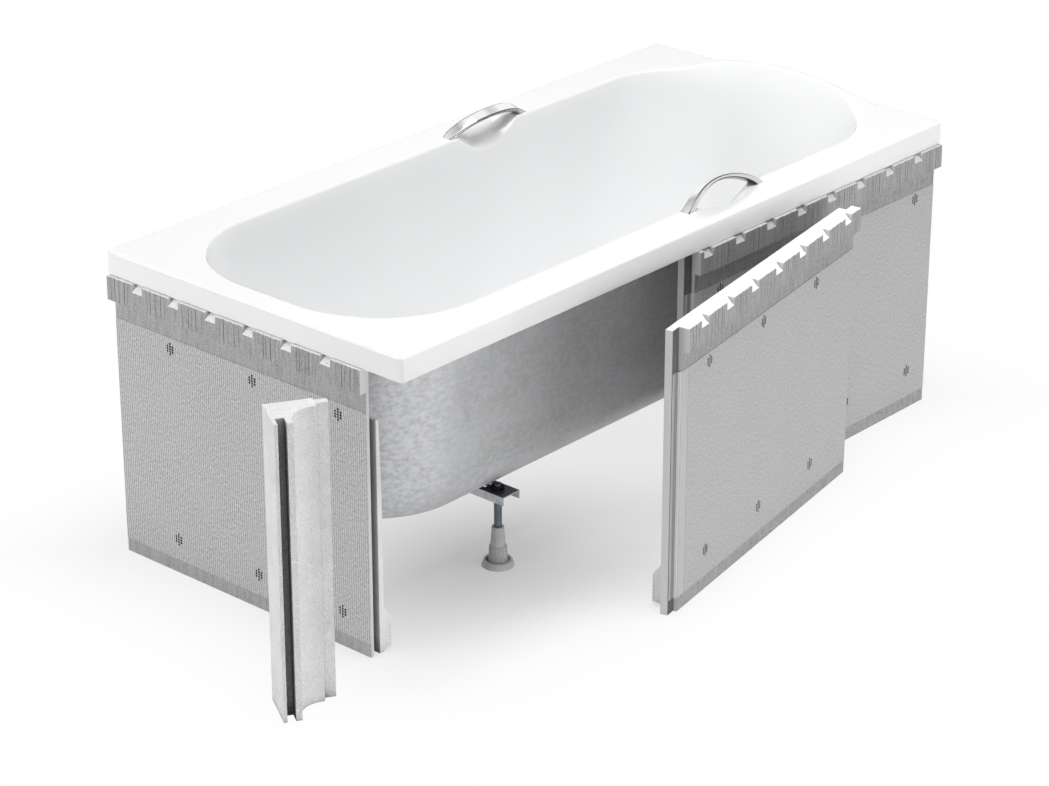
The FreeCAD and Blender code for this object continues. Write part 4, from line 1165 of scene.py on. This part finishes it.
class BATH_OT_perforations(bpy.types.Operator):
    """Puts groups of near-black discs, painted shade for small holes, near the top and bottom of each fleece
    with a node tree
    """

    bl_idname = "bath.perforations"
    bl_label = "Perforations"

    HEIGHTS = {"end": (0.076, 0.493), "right": (0.093, 0.500), "left": (0.088, 0.498)}
    PLACES = {
        "end": (0.155, 0.384, 0.614),
        "right": (0.084, 0.309, 0.535, 0.760),
        "left": (0.113, 0.340, 0.572),
    }
    # A group's width and the circle that cuts its corners off, as shares of its height.
    GROUP_WIDTH, GROUP_ROUND = 0.64, 0.56
    # A dot's sides and depth, and how far out it lies, as a share of how far the fleece stands off.
    SIDES, DEPTH, OUTSIDE = 12, 0.00012, 0.97

    def execute(self, context):
        settings = context.scene.bath_skirt
        pit = pit_finish()
        tree = self.groups(pit)
        sizes = {"Dots": settings.dot_rows, "Pitch": settings.dot_pitch, "Radius": settings.dot_radius}
        y = -settings.fleece_proud * self.OUTSIDE
        for name, places in self.PLACES.items():
            spots = [(x, y, z) for x in places for z in self.HEIGHTS[name]]
            piece = new_piece(f"{name}_perforations", mesh_of(f"{name}_perforations", spots), pit)
            tree.apply(piece, **sizes)
            piece.data.transform(panel_matrix(name))
            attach(piece, f"{name}_panel")
        return {"FINISHED"}

    def groups(self, material):
        tree = Scatter("perforation", Dots="Int", Pitch="Float", Radius="Float")
        rows = tree.given["Dots"]
        height = (rows - 1.0) * tree.given["Pitch"]
        grid = {"Size X": height * self.GROUP_WIDTH, "Size Y": height}
        grid |= {"Vertices X": rows - 2.0, "Vertices Y": rows}
        grid = tree.value("GeometryNodeMeshGrid", None, grid)
        place = tree.value("GeometryNodeInputPosition")
        reach = tree.value("ShaderNodeVectorMath", {"operation": "LENGTH"}, {0: place}, "Value")
        dot = {"Vertices": self.SIDES, "Radius": tree.given["Radius"], "Depth": self.DEPTH}
        dot = tree.value("GeometryNodeMeshCylinder", {"fill_type": "NGON"}, dot)
        group = {"Points": grid, "Selection": height * self.GROUP_ROUND > reach, "Instance": dot}
        group = tree.value("GeometryNodeInstanceOnPoints", None, group)
        return tree.spread(group, material, (math.pi / 2, 0.0, 0.0))


class BATH_OT_stage(bpy.types.Operator):
    """Sets the pale floor, the soft light and the camera"""

    bl_idname = "bath.stage"
    bl_label = "Stage"

    FLOOR = 20.0
    # The middle of the shadow under the tub, and the point that the lamps look at.
    SHADOW, AIM = (-0.42, -0.38, 0.0), Vector((0.0, 0.0, 0.4))
    # Power of the low front lamp, as a share of the one at the foot end.
    FRONT_SHARE = 0.65
    GLOW = {"Color": (*WHITE, 1.0), "Strength": 1.0}

    def execute(self, context):
        settings = context.scene.bath_stage
        corners = [(x * self.FLOOR, y * self.FLOOR, 0.0) for x, y in ((-1, -1), (1, -1), (1, 1), (-1, 1))]
        mesh = mesh_of("floor", corners, [(0, 1, 2, 3)])
        new_piece("floor", mesh, self.ground(settings))
        self.sky(context.scene, settings)
        self.lamp("overhead", (0.0, -0.9, 5.0), (3.0, 3.0), settings.overhead)
        self.lamp("left_low", (-5.2, 2.4, 1.2), (3.5, 1.2), settings.side)
        self.lamp("front_low", (0.4, -5.6, 0.5), (3.5, 0.8), settings.side * self.FRONT_SHARE)
        camera = bpy.data.cameras.new("camera")
        camera.sensor_width, camera.lens = SENSOR, settings.focal_pixels * SENSOR / PHOTO_WIDTH
        stand = bpy.data.objects.new("camera", camera)
        stand.location, stand.rotation_euler = settings.place, settings.turn
        context.scene.collection.objects.link(stand)
        context.scene.camera = stand
        context.scene.view_settings.view_transform = "Standard"
        return {"FINISHED"}

    @staticmethod
    def seen(graph):
        """1 where the background is seen straight, in a mirror or through glass."""
        path = graph.node("ShaderNodeLightPath").outputs
        seen = Value(graph, path["Is Camera Ray"]).most(path["Is Glossy Ray"])
        return seen.most(path["Is Transmission Ray"])

    def ground(self, settings):
        """A floor that is lifted to white away from the tub, and less so near the middle of its shadow."""
        finish = Finish("pale_floor", settings.ground)
        finish.set(base_color=finish.between(finish.noise(3.0, 3.0), 0.985, 1.01), roughness=0.9)
        across, along, _ = finish.axes("Object")
        across, along = across.most(across * -1.0) - HALF_LENGTH, along.most(along * -1.0) - HALF_WIDTH
        away = across.most(along).ramp(-0.05, 0.4)
        ends = {0: finish.coordinates["Object"], 1: self.SHADOW}
        far = finish.value("ShaderNodeVectorMath", {"operation": "DISTANCE"}, ends, "Value")
        pale = far.ramp(-0.1, 0.65) * settings.lift
        lift = self.seen(finish) * (away * (1.0 - pale) + pale)
        white = finish.value("ShaderNodeEmission", None, self.GLOW)
        mixed = {0: lift, 1: finish.shader.outputs[0], 2: white}
        mixed = finish.value("ShaderNodeMixShader", None, mixed)
        finish.give(finish.tree.nodes["Material Output"].inputs[0], mixed)
        return finish.material

    def sky(self, scene, settings):
        """Even light, behind a background that is seen as white."""
        world = bpy.data.worlds.new("sky")
        world.use_nodes = True
        scene.world = world
        graph = Graph(world.node_tree)
        graph.tree.nodes.clear()
        lit = graph.value("ShaderNodeBackground", None, {**self.GLOW, "Strength": settings.sky})
        shown = graph.value("ShaderNodeBackground", None, self.GLOW)
        mixed = graph.value("ShaderNodeMixShader", None, {0: self.seen(graph), 1: lit, 2: shown})
        graph.node("ShaderNodeOutputWorld", None, {0: mixed})

    def lamp(self, name, place, size, power):
        light = bpy.data.lights.new(name, "AREA")
        light.shape, light.energy = "RECTANGLE", power
        light.size, light.size_y = size
        stand = bpy.data.objects.new(name, light)
        stand.location = place
        stand.rotation_euler = (self.AIM - Vector(place)).to_track_quat("-Z", "Y").to_euler()
        bpy.context.scene.collection.objects.link(stand)


PIECES = (
    BATH_OT_shell,
    BATH_OT_grips,
    BATH_OT_threads,
    BATH_OT_metalwork,
    BATH_OT_foam,
    BATH_OT_strips,
    BATH_OT_fleece,
    BATH_OT_flaps,
    BATH_OT_perforations,
    BATH_OT_stage,
)


class BATH_PT_sidebar(bpy.types.Panel):
    """Lists the settings and the steps that build the bathtub"""

    bl_idname = "BATH_PT_sidebar"
    bl_label = "Skirted bathtub"
    bl_space_type = "VIEW_3D"
    bl_region_type = "UI"
    bl_category = "Bathtub"

    def draw(self, context):
        scene = context.scene
        for group in (scene.bath_shell, scene.bath_skirt, scene.bath_stage):
            box = self.layout.box()
            for name in group.__annotations__:
                box.prop(group, name)
        for step in PIECES:
            self.layout.operator(step.bl_idname)


GROUPS = {"bath_shell": ShellSettings, "bath_skirt": SkirtSettings, "bath_stage": StageSettings}
CLASSES = (*GROUPS.values(), *PIECES, BATH_PT_sidebar)


def register():
    for item in CLASSES:
        bpy.utils.register_class(item)
    for name, group in GROUPS.items():
        setattr(bpy.types.Scene, name, bpy.props.PointerProperty(type=group))


def unregister():
    for name in GROUPS:
        delattr(bpy.types.Scene, name)
    for item in reversed(CLASSES):
        bpy.utils.unregister_class(item)


def main():
    register()
    for step in PIECES:
        area, name = step.bl_idname.split(".")
        getattr(getattr(bpy.ops, area), name)()


if __name__ == "__main__":
    main()
